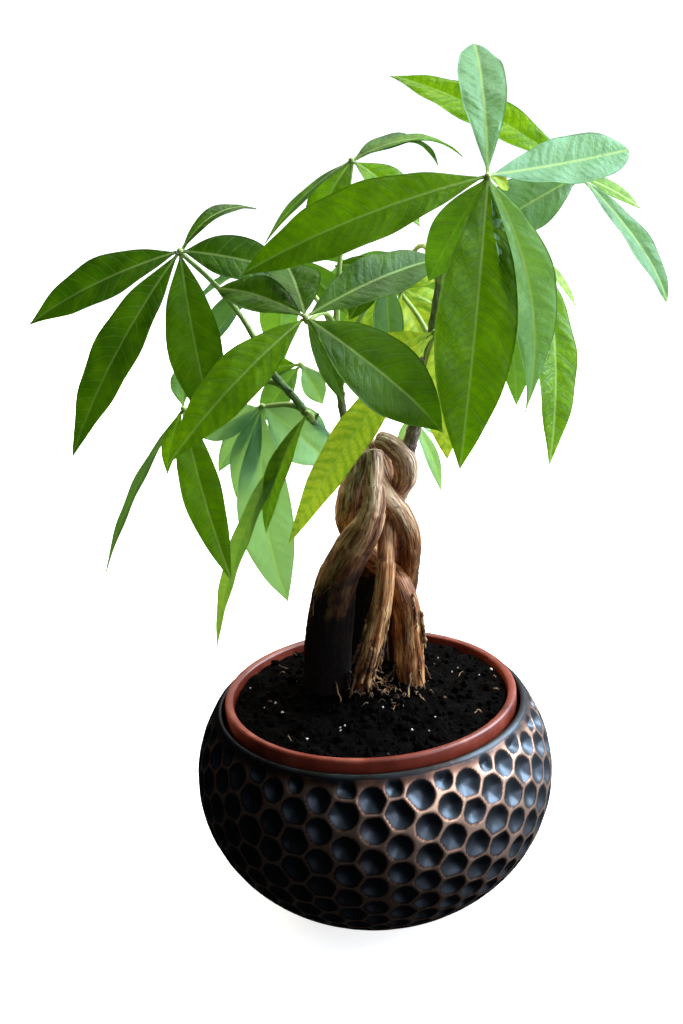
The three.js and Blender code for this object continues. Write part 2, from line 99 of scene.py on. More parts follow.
# Each seedling's stations are (x, y, z, radius), from the pruned top down to the buried foot.
SEEDLINGS = {
    "seedling_front": [
        (9, -2, 241, 4.2), (8, -6, 227, 4.8), (7, -8, 215, 5.8), (3, -9, 203, 7.6), (-5, -8, 191, 9),
        (-13, -4, 174, 10.3), (-17, -1, 156, 11.4), (-19, 2, 139, 12), (-21, 4, 122, 12.4), (-22, 5, 84, 12)],
    "seedling_loop": [
        (11, 9, 243, 4.4), (17, 6, 241, 5.2), (23, 4, 235, 5.8), (24, 6, 225, 5.8), (20, 12, 215, 5.4),
        (17, 13, 207, 4.8), (13, 4, 199, 4.6), (12, -4, 190, 4.5), (11, -9, 180, 4.6), (8, -11, 163, 4.8),
        (2, -10, 140, 5.3), (-3, -6, 120, 5.8), (-5, -4, 84, 5.6)],
    "seedling_right": [
        (5, 14, 241, 4.6), (8, 12, 229, 5.1), (11, 7, 220, 5.4), (15, 3, 214, 5.6), (20, 0, 207, 5.8),
        (23, 0, 198, 6), (24, 4, 185, 6.2), (23, 11, 172, 6.2), (21, 19, 157, 6.2), (17.6, 23.4, 141, 6.6),
        (17, 25, 121, 6.4), (17, 26, 84, 6.2)],
    "seedling_left": [
        (2, 4, 240, 4.4), (1, 3, 233, 5), (-2, 4, 223, 6.4), (-4, 8, 211, 7.2), (-5.5, 15, 199, 7.2),
        (-2, 18, 187, 6.8), (5, 14, 179, 6.4), (13, 6, 174, 6.4), (18, 0, 167, 6.4), (21, -2, 156, 6.6),
        (22, -1, 140, 6.8), (22, 2, 122, 7.2), (23, 3, 84, 7)],
    "seedling_back": [
        (10, 19, 238, 4.8), (14, 20, 223, 5.6), (15, 24, 206, 6.2), (15, 27, 189, 7.2), (10, 29, 173, 8.2),
        (2, 30, 157, 8.6), (-2, 30, 138, 9), (-5, 30, 120, 9), (-6, 30, 84, 9)],
}

# How dark each stem's bark is painted near the soil, from 0 to 1: partly damp bark, partly painted shade on
# the stems that stand in shadow.
BARK_DAMP_AND_SHADE = {"seedling_front": 1.0, "seedling_loop": 0.16, "seedling_right": 0.45, "seedling_left": 0.1,
            "seedling_back": 1.0}

# The three living shoots, the seedling that each one grows from, and its stations from there up.
SHOOTS = {
    "right": ("seedling_loop", [
        (24, 6, 233, 4), (28, 5, 245, 3.6), (33, 5, 262, 3.3), (38, 5, 284, 3), (45, 5, 322, 2.2)]),
    "middle": ("seedling_right", [
        (4, 14, 238, 2.6), (-4, 10, 252, 2.1), (-6, 8, 274, 1.9), (-6, 8, 300, 1.7)]),
    "left": ("seedling_left", [
        (2, 4, 237, 2.8), (-5, -1, 243, 2.2), (-13, -8, 251, 2), (-22, -16, 265, 1.9), (-27, -20, 274, 1.8),
        (-36, -26, 288, 1.7), (-42, -30, 304, 1.5)]),
}
# How green each living shoot is at its foot and at its tip.
SHOOT_GREEN = {"right": (0.0, 0.5), "middle": (0.1, 0.8), "left": (0.75, 1.0)}

# Leaves: the hub where the leaflets meet, the shoot and the height on it where the stalk starts, the way that
# the leaf faces as (heading, pitch) in degrees, and its leaflets. A leaflet is (clock, dip, length, width,
# arch, bow, roll): clock and dip in degrees, from straight up in the leaf's disc and below the disc, arch and
# bow as parts of the length, and roll about its own midrib. Then come how far the tip hooks down as a part of
# the length, how far the blade twists in degrees, and how pointed the tip is. The tones are (young, pale) for
# each leaflet, and the last one holds for those after it.
# Of the tones, pale is painted light: a painted mint sheen and a painted glow of light through the leaf.
# young is the leaflet's own yellow-green, set leaflet by leaflet, and so also carries some painted shade and
# glow.
LEAVES = {
    "leaf_right_top": dict(hub=(62, -60, 376), shoot="right", start=318, face=(-85, 35), blades=[
        (7, 25, 99, 22, 0.08, 0, 0, 0, 0, 0.92), (72, 22, 80, 25, -0.02, 0, 0, 0, 0, 0.66),
        (260, 20, 115, 29), (190, 25, 125, 35.5, 0.06), (173, 28, 103, 24, 0.08, -0.08, 0, 0, 25, 1.5),
        (100, 44, 14, 8), (222, 50, 56, 20)],
        tones=[(0.2, 0.62), (0.2, 0.66), (0.36, 0), (0.42, 0), (0.5, 0.5), (0.9, 0), (0.42, 0.1)]),
    "leaf_left_top": dict(hub=(-74, -20, 346), shoot="left", start=302, face=(-100, 35), blades=[
        (46, 24, 45, 12, 0.16, 0, -28), (250, 12, 83, 22.5, 0.08, 0, 0, 0, 0, 1.35),
        (213, 20, 110, 23.5, 0.08, 0, 0, 0, 0, 1.3), (171, 28, 84, 26), (95, 22, 50, 22)],
        tones=[(0.08, 0)]),
    "leaf_front": dict(hub=(-18, -70, 323), shoot="middle", start=298, face=(-85, 45), blades=[
        (312, 25, 54, 20), (58, 18, 84, 24, 0.06), (128, 22, 78, 32, 0.1, 0.03, 0, 0.05, -60),
        (232, 20, 86, 24, 0.08, 0, 0, 0, 0, 1.35), (156, 36, 40, 11), (354, 28, 48, 24)],
        tones=[(0.1, 0), (0.2, 0.04), (0.22, 0.02), (0.42, 0), (0.3, 0.1), (0.2, 0.02)]),
    "leaf_crown": dict(hub=(6, 10, 378), shoot="middle", start=300, face=(-80, 60), blades=[
        (65, 15, 56, 17, 0.1, 0, -14, 0.15), (76, 8, 60, 11, 0.1, 0, -18, 0.08),
        (238, 22, 57, 8, 0.06, 0, 20), (222, 34, 44, 18), (136, 26, 44, 22)],
        tones=[(0.08, 0.08), (0.5, 0.05), (0.3, 0.1), (0.4, 0), (0.5, 0)]),
    "leaf_right_high": dict(hub=(113, 20, 363), shoot="right", start=322, face=(-60, 50), blades=[
        (336, 12, 113, 22, 0.08, 0, -20), (157, 18, 73, 16.5, 0.06, 0.015, 0, 0.05, 0, 0.8),
        (121, 14, 36, 12, 0.03), (263, 24, 51, 31, 0.02, 0, 0, 0, 0, 0.7)],
        tones=[(0.5, 0), (0.1, 0.45), (0.5, 0), (0.12, 0.35)]),
    "leaf_right_low": dict(hub=(92, 0, 329), shoot="right", start=306, face=(-50, 50), blades=[
        (202, 28, 99, 22), (143, 30, 31, 8, 0.03), (252, 30, 50, 16), (304, 34, 36, 14)],
        tones=[(0.5, 0), (0.9, 0.3), (0.25, 0)]),
    "leaf_left_low": dict(hub=(-82, 0, 267), shoot="left", start=282, face=(-120, 55), blades=[
        (202, 28, 90, 9, 0.05, 0, 12), (146, 20, 93, 20), (330, 20, 49, 15), (182, 26, 33, 10)],
        tones=[(0.2, 0.3), (0.36, 0), (0.3, 0.3), (0.5, 0)]),
    "leaf_front_low": dict(hub=(-21, -35, 271), shoot="left", start=262, face=(-100, 50), blades=[
        (205, 34, 60, 13, 0.1, 0, 15), (216, 46, 134, 11, 0.12, -0.03, 10)],
        tones=[(0.7, 0.05), (0.8, 0.45)]),
    "leaf_left_mid": dict(hub=(-43, -15, 270), shoot="left", start=268, face=(-90, 40), blades=[
        (204, 34, 47, 14), (128, 30, 43, 28), (255, 30, 35, 18), (228, 40, 42, 12),
        (176, 38, 100, 27, 0.1, 0.05)],
        tones=[(0.5, 0.95)]),
    "leaf_middle_low": dict(hub=(39, -30, 304), shoot="right", start=272, face=(-90, 50), blades=[
        (224, 28, 119, 19), (176, 44, 60, 18), (264, 34, 56, 18), (98, 40, 46, 16)],
        tones=[(1.0, 0.1)]),
    "leaf_middle_back": dict(hub=(27, 38, 311), shoot="right", start=290, face=(-80, 45), blades=[
        (165, 28, 46, 30), (62, 4, 27, 16), (112, 30, 34, 16), (238, 30, 46, 20)],
        tones=[(0.9, 0.1)]),
    "leaf_middle": dict(hub=(19, 10, 324), shoot="middle", start=278, face=(-90, 45), blades=[
        (180, 36, 44, 15), (228, 26, 28, 12), (300, 22, 30, 12)],
        tones=[(0.25, 0.55), (0.2, 0)]),
    "leaf_small_low": dict(hub=(28, 20, 251), shoot="right", start=246, face=(-70, 45), blades=[
        (164, 28, 42, 8, 0.1), (206, 34, 20, 8), (118, 32, 20, 8)],
        tones=[(0.75, 0.7)]),
    "leaf_small_left": dict(hub=(-24, 0, 285), shoot="middle", start=268, face=(-90, 40), blades=[
        (225, 32, 34, 16), (150, 32, 22, 12), (275, 28, 28, 12)],
        tones=[(0.5, 0.35), (0.6, 0.8), (0.5, 0)]),
    "leaf_back_left": dict(hub=(-30, 76, 322), shoot="middle", start=293, face=(112, 56), blades=[
        (22, 16, 44, 16), (84, 20, 62, 22), (134, 28, 78, 24), (184, 30, 72, 24), (236, 32, 50, 20),
        (292, 24, 36, 14)],
        tones=[(0.15, 0), (0.15, 0), (0.15, 0), (0.5, 0.2), (0.3, 0)]),
    "leaf_back": dict(hub=(32, 106, 316), shoot="right", start=316, lift=0.4, face=(85, 58), blades=[
        (30, 34, 30, 12), (90, 22, 50, 20), (140, 28, 80, 24), (190, 30, 84, 26), (238, 30, 50, 20),
        (322, 34, 28, 12)],
        tones=[(0.4, 0.1)]),
    "leaf_back_right": dict(hub=(78, 62, 298), shoot="right", start=300, face=(60, 56), blades=[
        (14, 22, 38, 16), (72, 28, 46, 18), (124, 38, 58, 20), (178, 36, 68, 22), (232, 32, 56, 20),
        (296, 26, 26, 12)],
        tones=[(0.35, 0.1)]),
}


# ---- the camera ----

def set_camera():
    """The photograph's own view: from the front and above, a little turned and tilted."""
    pitch, yaw, tilt = (math.radians(VIEW[angle]) for angle in ("pitch", "yaw", "tilt"))
    ahead = Vector((math.sin(yaw) * math.cos(pitch), math.cos(yaw) * math.cos(pitch), -math.sin(pitch)))
    level = Vector((math.cos(yaw), -math.sin(yaw), 0))
    rise = level.cross(ahead)
    right = math.cos(tilt) * level - math.sin(tilt) * rise
    up = math.sin(tilt) * level + math.cos(tilt) * rise
    camera = bpy.data.objects.new("camera", bpy.data.cameras.new("camera"))
    camera.data.lens = VIEW["lens"]
    camera.data.sensor_width = VIEW["sensor"]
    axes = Matrix((right, up, -ahead)).transposed().to_4x4()
    camera.matrix_world = Matrix.Translation(VIEW["place"]) @ axes
    bpy.context.scene.collection.objects.link(camera)
    bpy.context.scene.camera = camera


# ---- curves and shells ----

def unit(rows):
    """Each row as a direction of length 1."""
    return rows / np.maximum(np.linalg.norm(rows, axis=-1, keepdims=True), 1e-9)


def smoothstep(low, high, value):
    """How far a value has come from low to high, from 0 to 1, with a soft start and end."""
    t = np.clip((value - low) / (high - low), 0, 1)
    return t * t * (3 - 2 * t)


def grown_curve(stations, count):
    """Rows on the centripetal curve through the stations. A fourth number, the radius, is carried along."""
    rows = np.array(stations, float)
    rows = np.vstack([2 * rows[0] - rows[1], rows, 2 * rows[-1] - rows[-2]])
    points = []
    for t in np.linspace(0, len(rows) - 3, count):
        low = min(int(t), len(rows) - 4)
        w = t - low
        before, a, b, after = rows[low:low + 4]
        d0, d1, d2 = (math.sqrt(np.linalg.norm((q - p)[:3])) for p, q in ((before, a), (a, b), (b, after)))
        leave = ((a - before) / d0 - (b - before) / (d0 + d1) + (b - a) / d1) * d1
        arrive = ((b - a) / d1 - (after - a) / (d1 + d2) + (after - b) / d2) * d1
        bend = 3 * (b - a) - 2 * leave - arrive
        ease = 2 * (a - b) + leave + arrive
        points.append(a + leave * w + bend * w * w + ease * w ** 3)
    return np.array(points)


def bent_curve(start, first, second, end, count):
    """Rows on a cubic Bezier curve."""
    t = np.linspace(0, 1, count)[:, None]
    return (1 - t) ** 3 * start + 3 * t * (1 - t) ** 2 * first + 3 * t * t * (1 - t) * second + t ** 3 * end


def rough_length(stations):
    """The length of the straight lines from station to station."""
    return sum(math.dist(a[:3], b[:3]) for a, b in zip(stations, stations[1:]))


def carried_frame(centres):
    """Two directions across each point of a curve, carried along it without twisting."""
    along = unit(np.gradient(centres, axis=0))
    side = np.array([1.0, 0, 0])
    sides = []
    for ahead in along:
        side = side - side.dot(ahead) * ahead
        side = side / np.linalg.norm(side)
        sides.append(side)
    return along, np.array(sides), np.cross(along, np.array(sides))


def grid_faces(rows, columns, closed=False, start=0):
    """Four-sided faces over a grid of points, joined round into a tube if closed."""
    row = np.arange(rows - 1)[:, None] * columns
    column = np.arange(columns if closed else columns - 1)[None, :]
    beside = (column + 1) % columns
    corners = [row + column, row + beside, row + columns + beside, row + columns + column]
    return (np.stack(corners, axis=-1).reshape(-1, 4) + start).tolist()


def closed_faces(rings, sides):
    """Faces over rings of points, closed at both ends round two last points."""
    faces = grid_faces(rings, sides, closed=True)
    last = (rings - 1) * sides
    for i in range(sides):
        beside = (i + 1) % sides
        faces.append([beside, i, rings * sides])
        faces.append([last + i, last + beside, rings * sides + 1])
    return faces


def around(sides):
    """Angles evenly spaced round a circle."""
    return np.arange(sides) / sides * 2 * math.pi


def ring(radius, z, angles):
    """Points at these angles round the Z axis, at one radius and one height."""
    return np.stack([radius * np.cos(angles), radius * np.sin(angles), np.full(len(angles), z)], -1)


def shell(points, faces, finish=0, **values):
    """Part of a piece: its points, its faces, the number of its finish, and named values for each point."""
    return {"points": np.asarray(points, float), "faces": faces, "finish": finish, "values": values}


def tube(centres, radii, sides, finish=0, relief=None, **values):
    """A closed round shell along a curve. relief(angles, travelled, reach) lifts each point off it."""
    along, side, across = carried_frame(centres)
    angles = around(sides)
    travelled = np.concatenate([[0], np.cumsum(np.linalg.norm(np.diff(centres, axis=0), axis=1))])
    reach = np.repeat(np.asarray(radii, float)[:, None], sides, axis=1)
    if relief is not None:
        reach = reach + relief(angles, travelled, reach)
    rings = (centres[:, None, :] + side[:, None, :] * (reach * np.cos(angles))[..., None]
             + across[:, None, :] * (reach * np.sin(angles))[..., None])
    dome = 0.15
    ends = [centres[0] - along[0] * reach[0].mean() * dome, centres[-1] + along[-1] * reach[-1].mean() * dome]
    points = np.vstack([rings.reshape(-1, 3), ends])
    grain = np.vstack([ring(flat, length, angles) for flat, length in zip(reach.mean(axis=1), travelled)])
    grain = np.vstack([grain, (0, 0, 0), (0, 0, travelled[-1])])
    return shell(points, closed_faces(len(centres), sides), finish, grain=grain, **values)


def turned(profile, sides, finish=0):
    """A closed shell turned round the Z axis from a list of (radius, height), whose ends lie on the axis."""
    rings = [ring(radius, z, around(sides)) for radius, z in profile[1:-1]]
    points = np.vstack(rings + [(0, 0, profile[0][1]), (0, 0, profile[-1][1])])
    return shell(points, closed_faces(len(rings), sides), finish)


# The named values that are places. The others are single numbers.
VECTOR_VALUES = ("grain", "blade")


def store_value(mesh, name, shells):
    """One named value for each point of a mesh, nothing where a shell has none of it."""
    wide = name in VECTOR_VALUES
    parts = []
    for part in shells:
        count = len(part["points"])
        value = np.asarray(part["values"].get(name, 0), float)
        parts.append(np.broadcast_to(value, (count, 3) if wide else (count,)))
    layer = mesh.attributes.new(name, "FLOAT_VECTOR" if wide else "FLOAT", "POINT")
    layer.data.foreach_set("vector" if wide else "value", np.concatenate(parts).astype(np.float32).ravel())


def make_piece(name, shells, finishes, node=None):
    """One object from its shells, with its finishes. It rides on the plant, and may stand for a CAD node."""
    faces = []
    numbers = []
    start = 0
    for part in shells:
        faces += [[start + i for i in face] for face in part["faces"]]
        numbers += [part["finish"]] * len(part["faces"])
        start += len(part["points"])
    mesh = bpy.data.meshes.new(name)
    mesh.from_pydata((np.vstack([part["points"] for part in shells]) * MM).tolist(), [], faces)
    for finish in finishes:
        mesh.materials.append(finish)
    mesh.polygons.foreach_set("material_index", numbers)
    mesh.polygons.foreach_set("use_smooth", [True] * len(faces))
    for value in sorted({key for part in shells for key in part["values"]}):
        store_value(mesh, value, shells)
    mesh.validate()
    piece = bpy.data.objects.new(name, mesh)
    bpy.context.scene.collection.objects.link(piece)
    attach(piece, "root")
    if node:
        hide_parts(node)
    return piece


# ---- finishes ----

# The colour sockets of a Mix node, whose names are shared with its other sockets.
FACTOR, FIRST, SECOND, MIXED = 0, 6, 7, 2


def linear(code):
    """An sRGB colour such as '#8a4636' as linear red, green, blue and an alpha of 1."""
    parts = [int(code[i:i + 2], 16) / 255 for i in (1, 3, 5)]
    return tuple(c / 12.92 if c <= 0.04045 else ((c + 0.055) / 1.055) ** 2.4 for c in parts) + (1.0,)


def add(tree, kind, inputs=None, stops=None, **settings):
    """A node with its settings. An input is a plain value, or the output of another node to link to."""
    node = tree.nodes.new(kind)
    for name, value in settings.items():
        setattr(node, name, value)
    for name, value in (inputs or {}).items():
        if isinstance(value, bpy.types.NodeSocket):
            tree.links.new(value, node.inputs[name])
        else:
            node.inputs[name].default_value = value
    if stops:
        ramp = node.color_ramp
        while len(ramp.elements) < len(stops):
            ramp.elements.new(1)
        for element, (place, code) in zip(ramp.elements, stops):
            element.position = place
            element.color = linear(code)
    return node


def new_finish(name):
    """A new material with its node tree and its surface shader."""
    material = bpy.data.materials.new(name)
    material.use_nodes = True
    tree = material.node_tree
    return material, tree, tree.nodes["Principled BSDF"]


def spacing(size):
    """The scale of a pattern drawn in object space, for features this many millimetres apart."""
    return 1 / (size * MM)


def stretched(across, along):
    """The scale of a pattern drawn along a stem, for features this many millimetres across and along it."""
    return 1 / across, 1 / across, 1 / along


def hammered_antique_copper():
    """Antique copper on hammered sheet, blackened, then rubbed: blue-black glossy hollows, worn ridges."""
    material, tree, surface = new_finish("hammered_antique_copper")
    ridge = add(tree, "ShaderNodeAttribute", attribute_name="ridge").outputs["Fac"]
    place = add(tree, "ShaderNodeTexCoord").outputs["Object"]
    blotch = add(tree, "ShaderNodeTexNoise", {
        "Vector": place, "Scale": spacing(14), "Detail": 4.0}).outputs["Fac"]
    uneven = add(tree, "ShaderNodeMath", {0: blotch, 1: 0.5}, operation="SUBTRACT").outputs[0]
    rubbed = add(tree, "ShaderNodeMath", {0: uneven, 1: 0.7, 2: ridge}, operation="MULTIPLY_ADD").outputs[0]
    worn = add(tree, "ShaderNodeValToRGB", {"Fac": rubbed}, stops=[
        (0.0, "#343b43"), (0.3, "#231e1e"), (0.56, "#785342"), (1.0, "#c8a48c")]).outputs["Color"]
    tree.links.new(worn, surface.inputs["Base Color"])
    rough = add(tree, "ShaderNodeMapRange", {
        "Value": rubbed, "To Min": 0.4, "To Max": 0.36}).outputs["Result"]
    tree.links.new(rough, surface.inputs["Roughness"])
    surface.inputs["Metallic"].default_value = 1.0
    surface.inputs["Coat Weight"].default_value = 0.35
    surface.inputs["Coat Roughness"].default_value = 0.36
    planish = add(tree, "ShaderNodeTexNoise", {
        "Vector": place, "Scale": spacing(2.4), "Detail": 3.0}).outputs["Fac"]
    bump = add(tree, "ShaderNodeBump", {
        "Height": planish, "Strength": 0.12, "Distance": 0.0006}).outputs["Normal"]
    tree.links.new(bump, surface.inputs["Normal"])
    return material


def moulded_polypropylene():
    """Terracotta-coloured polypropylene, injection moulded: a soft even sheen, dusty and finely scuffed."""
    material, tree, surface = new_finish("moulded_polypropylene")
    place = add(tree, "ShaderNodeTexCoord").outputs["Object"]
    dust = add(tree, "ShaderNodeTexNoise", {
        "Vector": place, "Scale": spacing(18), "Detail": 5.0}).outputs["Fac"]
    colour = add(tree, "ShaderNodeValToRGB", {"Fac": dust}, stops=[
        (0.3, "#5b1e12"), (0.55, "#7e3323"), (0.75, "#a45c49")]).outputs["Color"]
    tree.links.new(colour, surface.inputs["Base Color"])
    surface.inputs["Roughness"].default_value = 0.36
    surface.inputs["IOR"].default_value = 1.49
    scuff = add(tree, "ShaderNodeTexNoise", {
        "Vector": place, "Scale": spacing(1.7), "Detail": 2.0}).outputs["Fac"]
    bump = add(tree, "ShaderNodeBump", {
        "Height": scuff, "Strength": 0.15, "Distance": 0.0004}).outputs["Normal"]
    tree.links.new(bump, surface.inputs["Normal"])
    return material


def damp_peat():
    """Peat-based potting soil, damp and loose: nearly black crumbs with brown bits of fibre."""
    material, tree, surface = new_finish("damp_peat")
    place = add(tree, "ShaderNodeTexCoord").outputs["Object"]
    bits = add(tree, "ShaderNodeTexVoronoi", {"Vector": place, "Scale": spacing(1.6), "Randomness": 1.0})
    colour = add(tree, "ShaderNodeValToRGB", {"Fac": bits.outputs["Distance"]}, stops=[
        (0.0, "#120b07"), (0.35, "#050302"), (1.0, "#020101")]).outputs["Color"]
    tree.links.new(colour, surface.inputs["Base Color"])
    surface.inputs["Roughness"].default_value = 0.95
    surface.inputs["Specular IOR Level"].default_value = 0.03
    crumb = add(tree, "ShaderNodeTexNoise", {
        "Vector": place, "Scale": spacing(2.1), "Detail": 6.0}).outputs["Fac"]
    bump = add(tree, "ShaderNodeBump", {
        "Height": crumb, "Strength": 0.9, "Distance": 0.0016}).outputs["Normal"]
    tree.links.new(bump, surface.inputs["Normal"])
    return material


def dry_fibre():
    """Coir and dead root, dry: pale tan threads that catch the light on the dark soil."""
    material, tree, surface = new_finish("dry_fibre")
    place = add(tree, "ShaderNodeTexCoord").outputs["Object"]
    age = add(tree, "ShaderNodeTexNoise", {
        "Vector": place, "Scale": spacing(7), "Detail": 3.0}).outputs["Fac"]
    colour = add(tree, "ShaderNodeValToRGB", {"Fac": age}, stops=[
        (0.35, "#2c1a0e"), (0.54, "#6c4a2c"), (0.7, "#b8935f")]).outputs["Color"]
    tree.links.new(colour, surface.inputs["Base Color"])
    surface.inputs["Roughness"].default_value = 0.75
    return material


def perlite():
    """Perlite grains, expanded volcanic glass: white and chalky."""
    material, tree, surface = new_finish("perlite")
    place = add(tree, "ShaderNodeTexCoord").outputs["Object"]
    pores = add(tree, "ShaderNodeTexNoise", {"Vector": place, "Scale": spacing(1.1)}).outputs["Fac"]
    colour = add(tree, "ShaderNodeValToRGB", {"Fac": pores}, stops=[
        (0.35, "#9a968c"), (0.65, "#e6e2d8")]).outputs["Color"]
    tree.links.new(colour, surface.inputs["Base Color"])
    surface.inputs["Roughness"].default_value = 0.9
    return material


def money_tree_bark():
    """Thin bark of a braided stem, grown in long fibres: fine lengthwise cracks, orange-brown, greyed at the
    top partly by weather and partly as a painted highlight, and painted near black towards the soil, partly
    as damp bark and partly as painted shade."""
    material, tree, surface = new_finish("money_tree_bark")
    grain = add(tree, "ShaderNodeAttribute", attribute_name="grain").outputs["Vector"]
    # age: how dark each stem is painted near the soil, partly damp bark and partly painted shade.
    age = add(tree, "ShaderNodeAttribute", attribute_name="age").outputs["Fac"]
    place = add(tree, "ShaderNodeTexCoord").outputs["Object"]
    drawn = add(tree, "ShaderNodeMapping", {"Vector": grain, "Scale": stretched(3.4, 30)}).outputs["Vector"]
    band = add(tree, "ShaderNodeTexNoise", {"Vector": drawn, "Scale": 1.0, "Detail": 5.0, "Roughness": 0.6})
    fine = add(tree, "ShaderNodeMapping", {"Vector": grain, "Scale": stretched(0.8, 8)}).outputs["Vector"]
    hair = add(tree, "ShaderNodeTexNoise", {"Vector": fine, "Scale": 1.0, "Detail": 3.0}).outputs["Fac"]
    both = add(tree, "ShaderNodeMath", {
        0: hair, 1: 0.4, 2: band.outputs["Fac"]}, operation="MULTIPLY_ADD").outputs[0]
    split = add(tree, "ShaderNodeMapping", {"Vector": grain, "Scale": stretched(2.6, 17)}).outputs["Vector"]
    wander = add(tree, "ShaderNodeTexNoise", {"Vector": split, "Scale": 1.0, "Detail": 2.0}).outputs["Fac"]
    middle = add(tree, "ShaderNodeMath", {0: wander, 1: 0.5}, operation="SUBTRACT").outputs[0]
    beside = add(tree, "ShaderNodeMath", {0: middle}, operation="ABSOLUTE").outputs[0]
    crack = add(tree, "ShaderNodeMapRange", {
        "Value": beside, "From Min": 0.004, "From Max": 0.03, "To Min": 1.0, "To Max": 0.0}).outputs["Result"]
    brown = add(tree, "ShaderNodeValToRGB", {"Fac": both}, stops=[
        (0.5, "#3a190b"), (0.66, "#95592f"), (0.78, "#c8935c"), (0.9, "#ecc79a")]).outputs["Color"]
    # The grey of the tops: greyed bark, whose palest stop is a painted highlight where light falls on them.
    grey = add(tree, "ShaderNodeValToRGB", {"Fac": both}, stops=[
        (0.5, "#43352f"), (0.68, "#8c8077"), (0.84, "#e6e0da")]).outputs["Color"]
    # Near black for the lower stems: partly damp bark, partly painted shade.
    dark = add(tree, "ShaderNodeValToRGB", {"Fac": both}, stops=[
        (0.5, "#040202"), (0.72, "#0c0603"), (0.92, "#20110a")]).outputs["Color"]
    height = add(tree, "ShaderNodeSeparateXYZ", {"Vector": place}).outputs["Z"]
    patch = add(tree, "ShaderNodeTexNoise", {
        "Vector": place, "Scale": spacing(24), "Detail": 4.0}).outputs["Fac"]
    shifted = add(tree, "ShaderNodeMath", {0: patch, 1: 0.1, 2: height}, operation="MULTIPLY_ADD").outputs[0]
    # How grey the top of each stem is: partly weathering, partly a painted highlight on the lit tops.
    weathered_and_lit_top = add(tree, "ShaderNodeMapRange", {
        "Value": shifted, "From Min": 0.235, "From Max": 0.285,
        "To Min": 0.0, "To Max": 0.36}).outputs["Result"]
    # Darker towards the soil: how far down the bark is painted near black, partly damp and partly painted
    # shade.
    low = add(tree, "ShaderNodeMapRange", {
        "Value": shifted, "From Min": 0.27, "From Max": 0.212,
        "To Min": 0.0, "To Max": 1.0}).outputs["Result"]
    # damp scales that by each stem's share, most on the stems that stand in shadow: painted shade as well as
    # damp.
    damp = add(tree, "ShaderNodeMath", {0: low, 1: age}, operation="MULTIPLY").outputs[0]
    topped = add(tree, "ShaderNodeMix", {FACTOR: weathered_and_lit_top, FIRST: brown, SECOND: grey}, data_type="RGBA")
    whole = add(tree, "ShaderNodeMix", {
        FACTOR: damp, FIRST: topped.outputs[MIXED], SECOND: dark}, data_type="RGBA")
    shade = add(tree, "ShaderNodeMath", {0: crack, 1: 0.6}, operation="MULTIPLY").outputs[0]
    cracked = add(tree, "ShaderNodeMix", {
        FACTOR: shade, FIRST: whole.outputs[MIXED], SECOND: linear("#1a0d08")}, data_type="RGBA")
    tree.links.new(cracked.outputs[MIXED], surface.inputs["Base Color"])
    matt = add(tree, "ShaderNodeMapRange", {"Value": damp, "To Min": 0.48, "To Max": 0.95}).outputs["Result"]
    tree.links.new(matt, surface.inputs["Roughness"])
    surface.inputs["Specular IOR Level"].default_value = 0.24
    depth = add(tree, "ShaderNodeMath", {0: crack, 1: -0.5, 2: both}, operation="MULTIPLY_ADD").outputs[0]
    bump = add(tree, "ShaderNodeBump", {"Height": depth, "Strength": 0.5, "Distance": 0.0011})
    tree.links.new(bump.outputs["Normal"], surface.inputs["Normal"])
    return material


def callused_wood():
    """Wood where a stem was cut back, healed over and dry: pale, dull and checked."""
    material, tree, surface = new_finish("callused_wood")
    grain = add(tree, "ShaderNodeAttribute", attribute_name="grain").outputs["Vector"]
    checks = add(tree, "ShaderNodeMapping", {"Vector": grain, "Scale": stretched(1.1, 1.1)}).outputs["Vector"]
    rings = add(tree, "ShaderNodeTexNoise", {"Vector": checks, "Scale": 1.0, "Detail": 4.0}).outputs["Fac"]
    colour = add(tree, "ShaderNodeValToRGB", {"Fac": rings}, stops=[
        (0.3, "#6b5540"), (0.55, "#a08a6e"), (0.75, "#c4b597")]).outputs["Color"]
    tree.links.new(colour, surface.inputs["Base Color"])
    surface.inputs["Roughness"].default_value = 0.85
    return material


def young_bark():
    """The bark of a living shoot: corky and purple-brown on an old one, smooth and green on a young one."""
    material, tree, surface = new_finish("young_bark")
    grain = add(tree, "ShaderNodeAttribute", attribute_name="grain").outputs["Vector"]
    young = add(tree, "ShaderNodeAttribute", attribute_name="young").outputs["Fac"]
    drawn = add(tree, "ShaderNodeMapping", {"Vector": grain, "Scale": stretched(0.8, 4)}).outputs["Vector"]
    cork = add(tree, "ShaderNodeTexNoise", {"Vector": drawn, "Scale": 1.0, "Detail": 5.0}).outputs["Fac"]
    old = add(tree, "ShaderNodeValToRGB", {"Fac": cork}, stops=[
        (0.3, "#3c2923"), (0.5, "#6b4f49"), (0.75, "#a39189")]).outputs["Color"]
    green = add(tree, "ShaderNodeValToRGB", {"Fac": cork}, stops=[
        (0.3, "#36541f"), (0.7, "#82a05c")]).outputs["Color"]
    colour = add(tree, "ShaderNodeMix", {FACTOR: young, FIRST: old, SECOND: green}, data_type="RGBA")
    tree.links.new(colour.outputs[MIXED], surface.inputs["Base Color"])
    surface.inputs["Roughness"].default_value = 0.5
    bump = add(tree, "ShaderNodeBump", {"Height": cork, "Strength": 0.4, "Distance": 0.0005})
    tree.links.new(bump.outputs["Normal"], surface.inputs["Normal"])
    return material


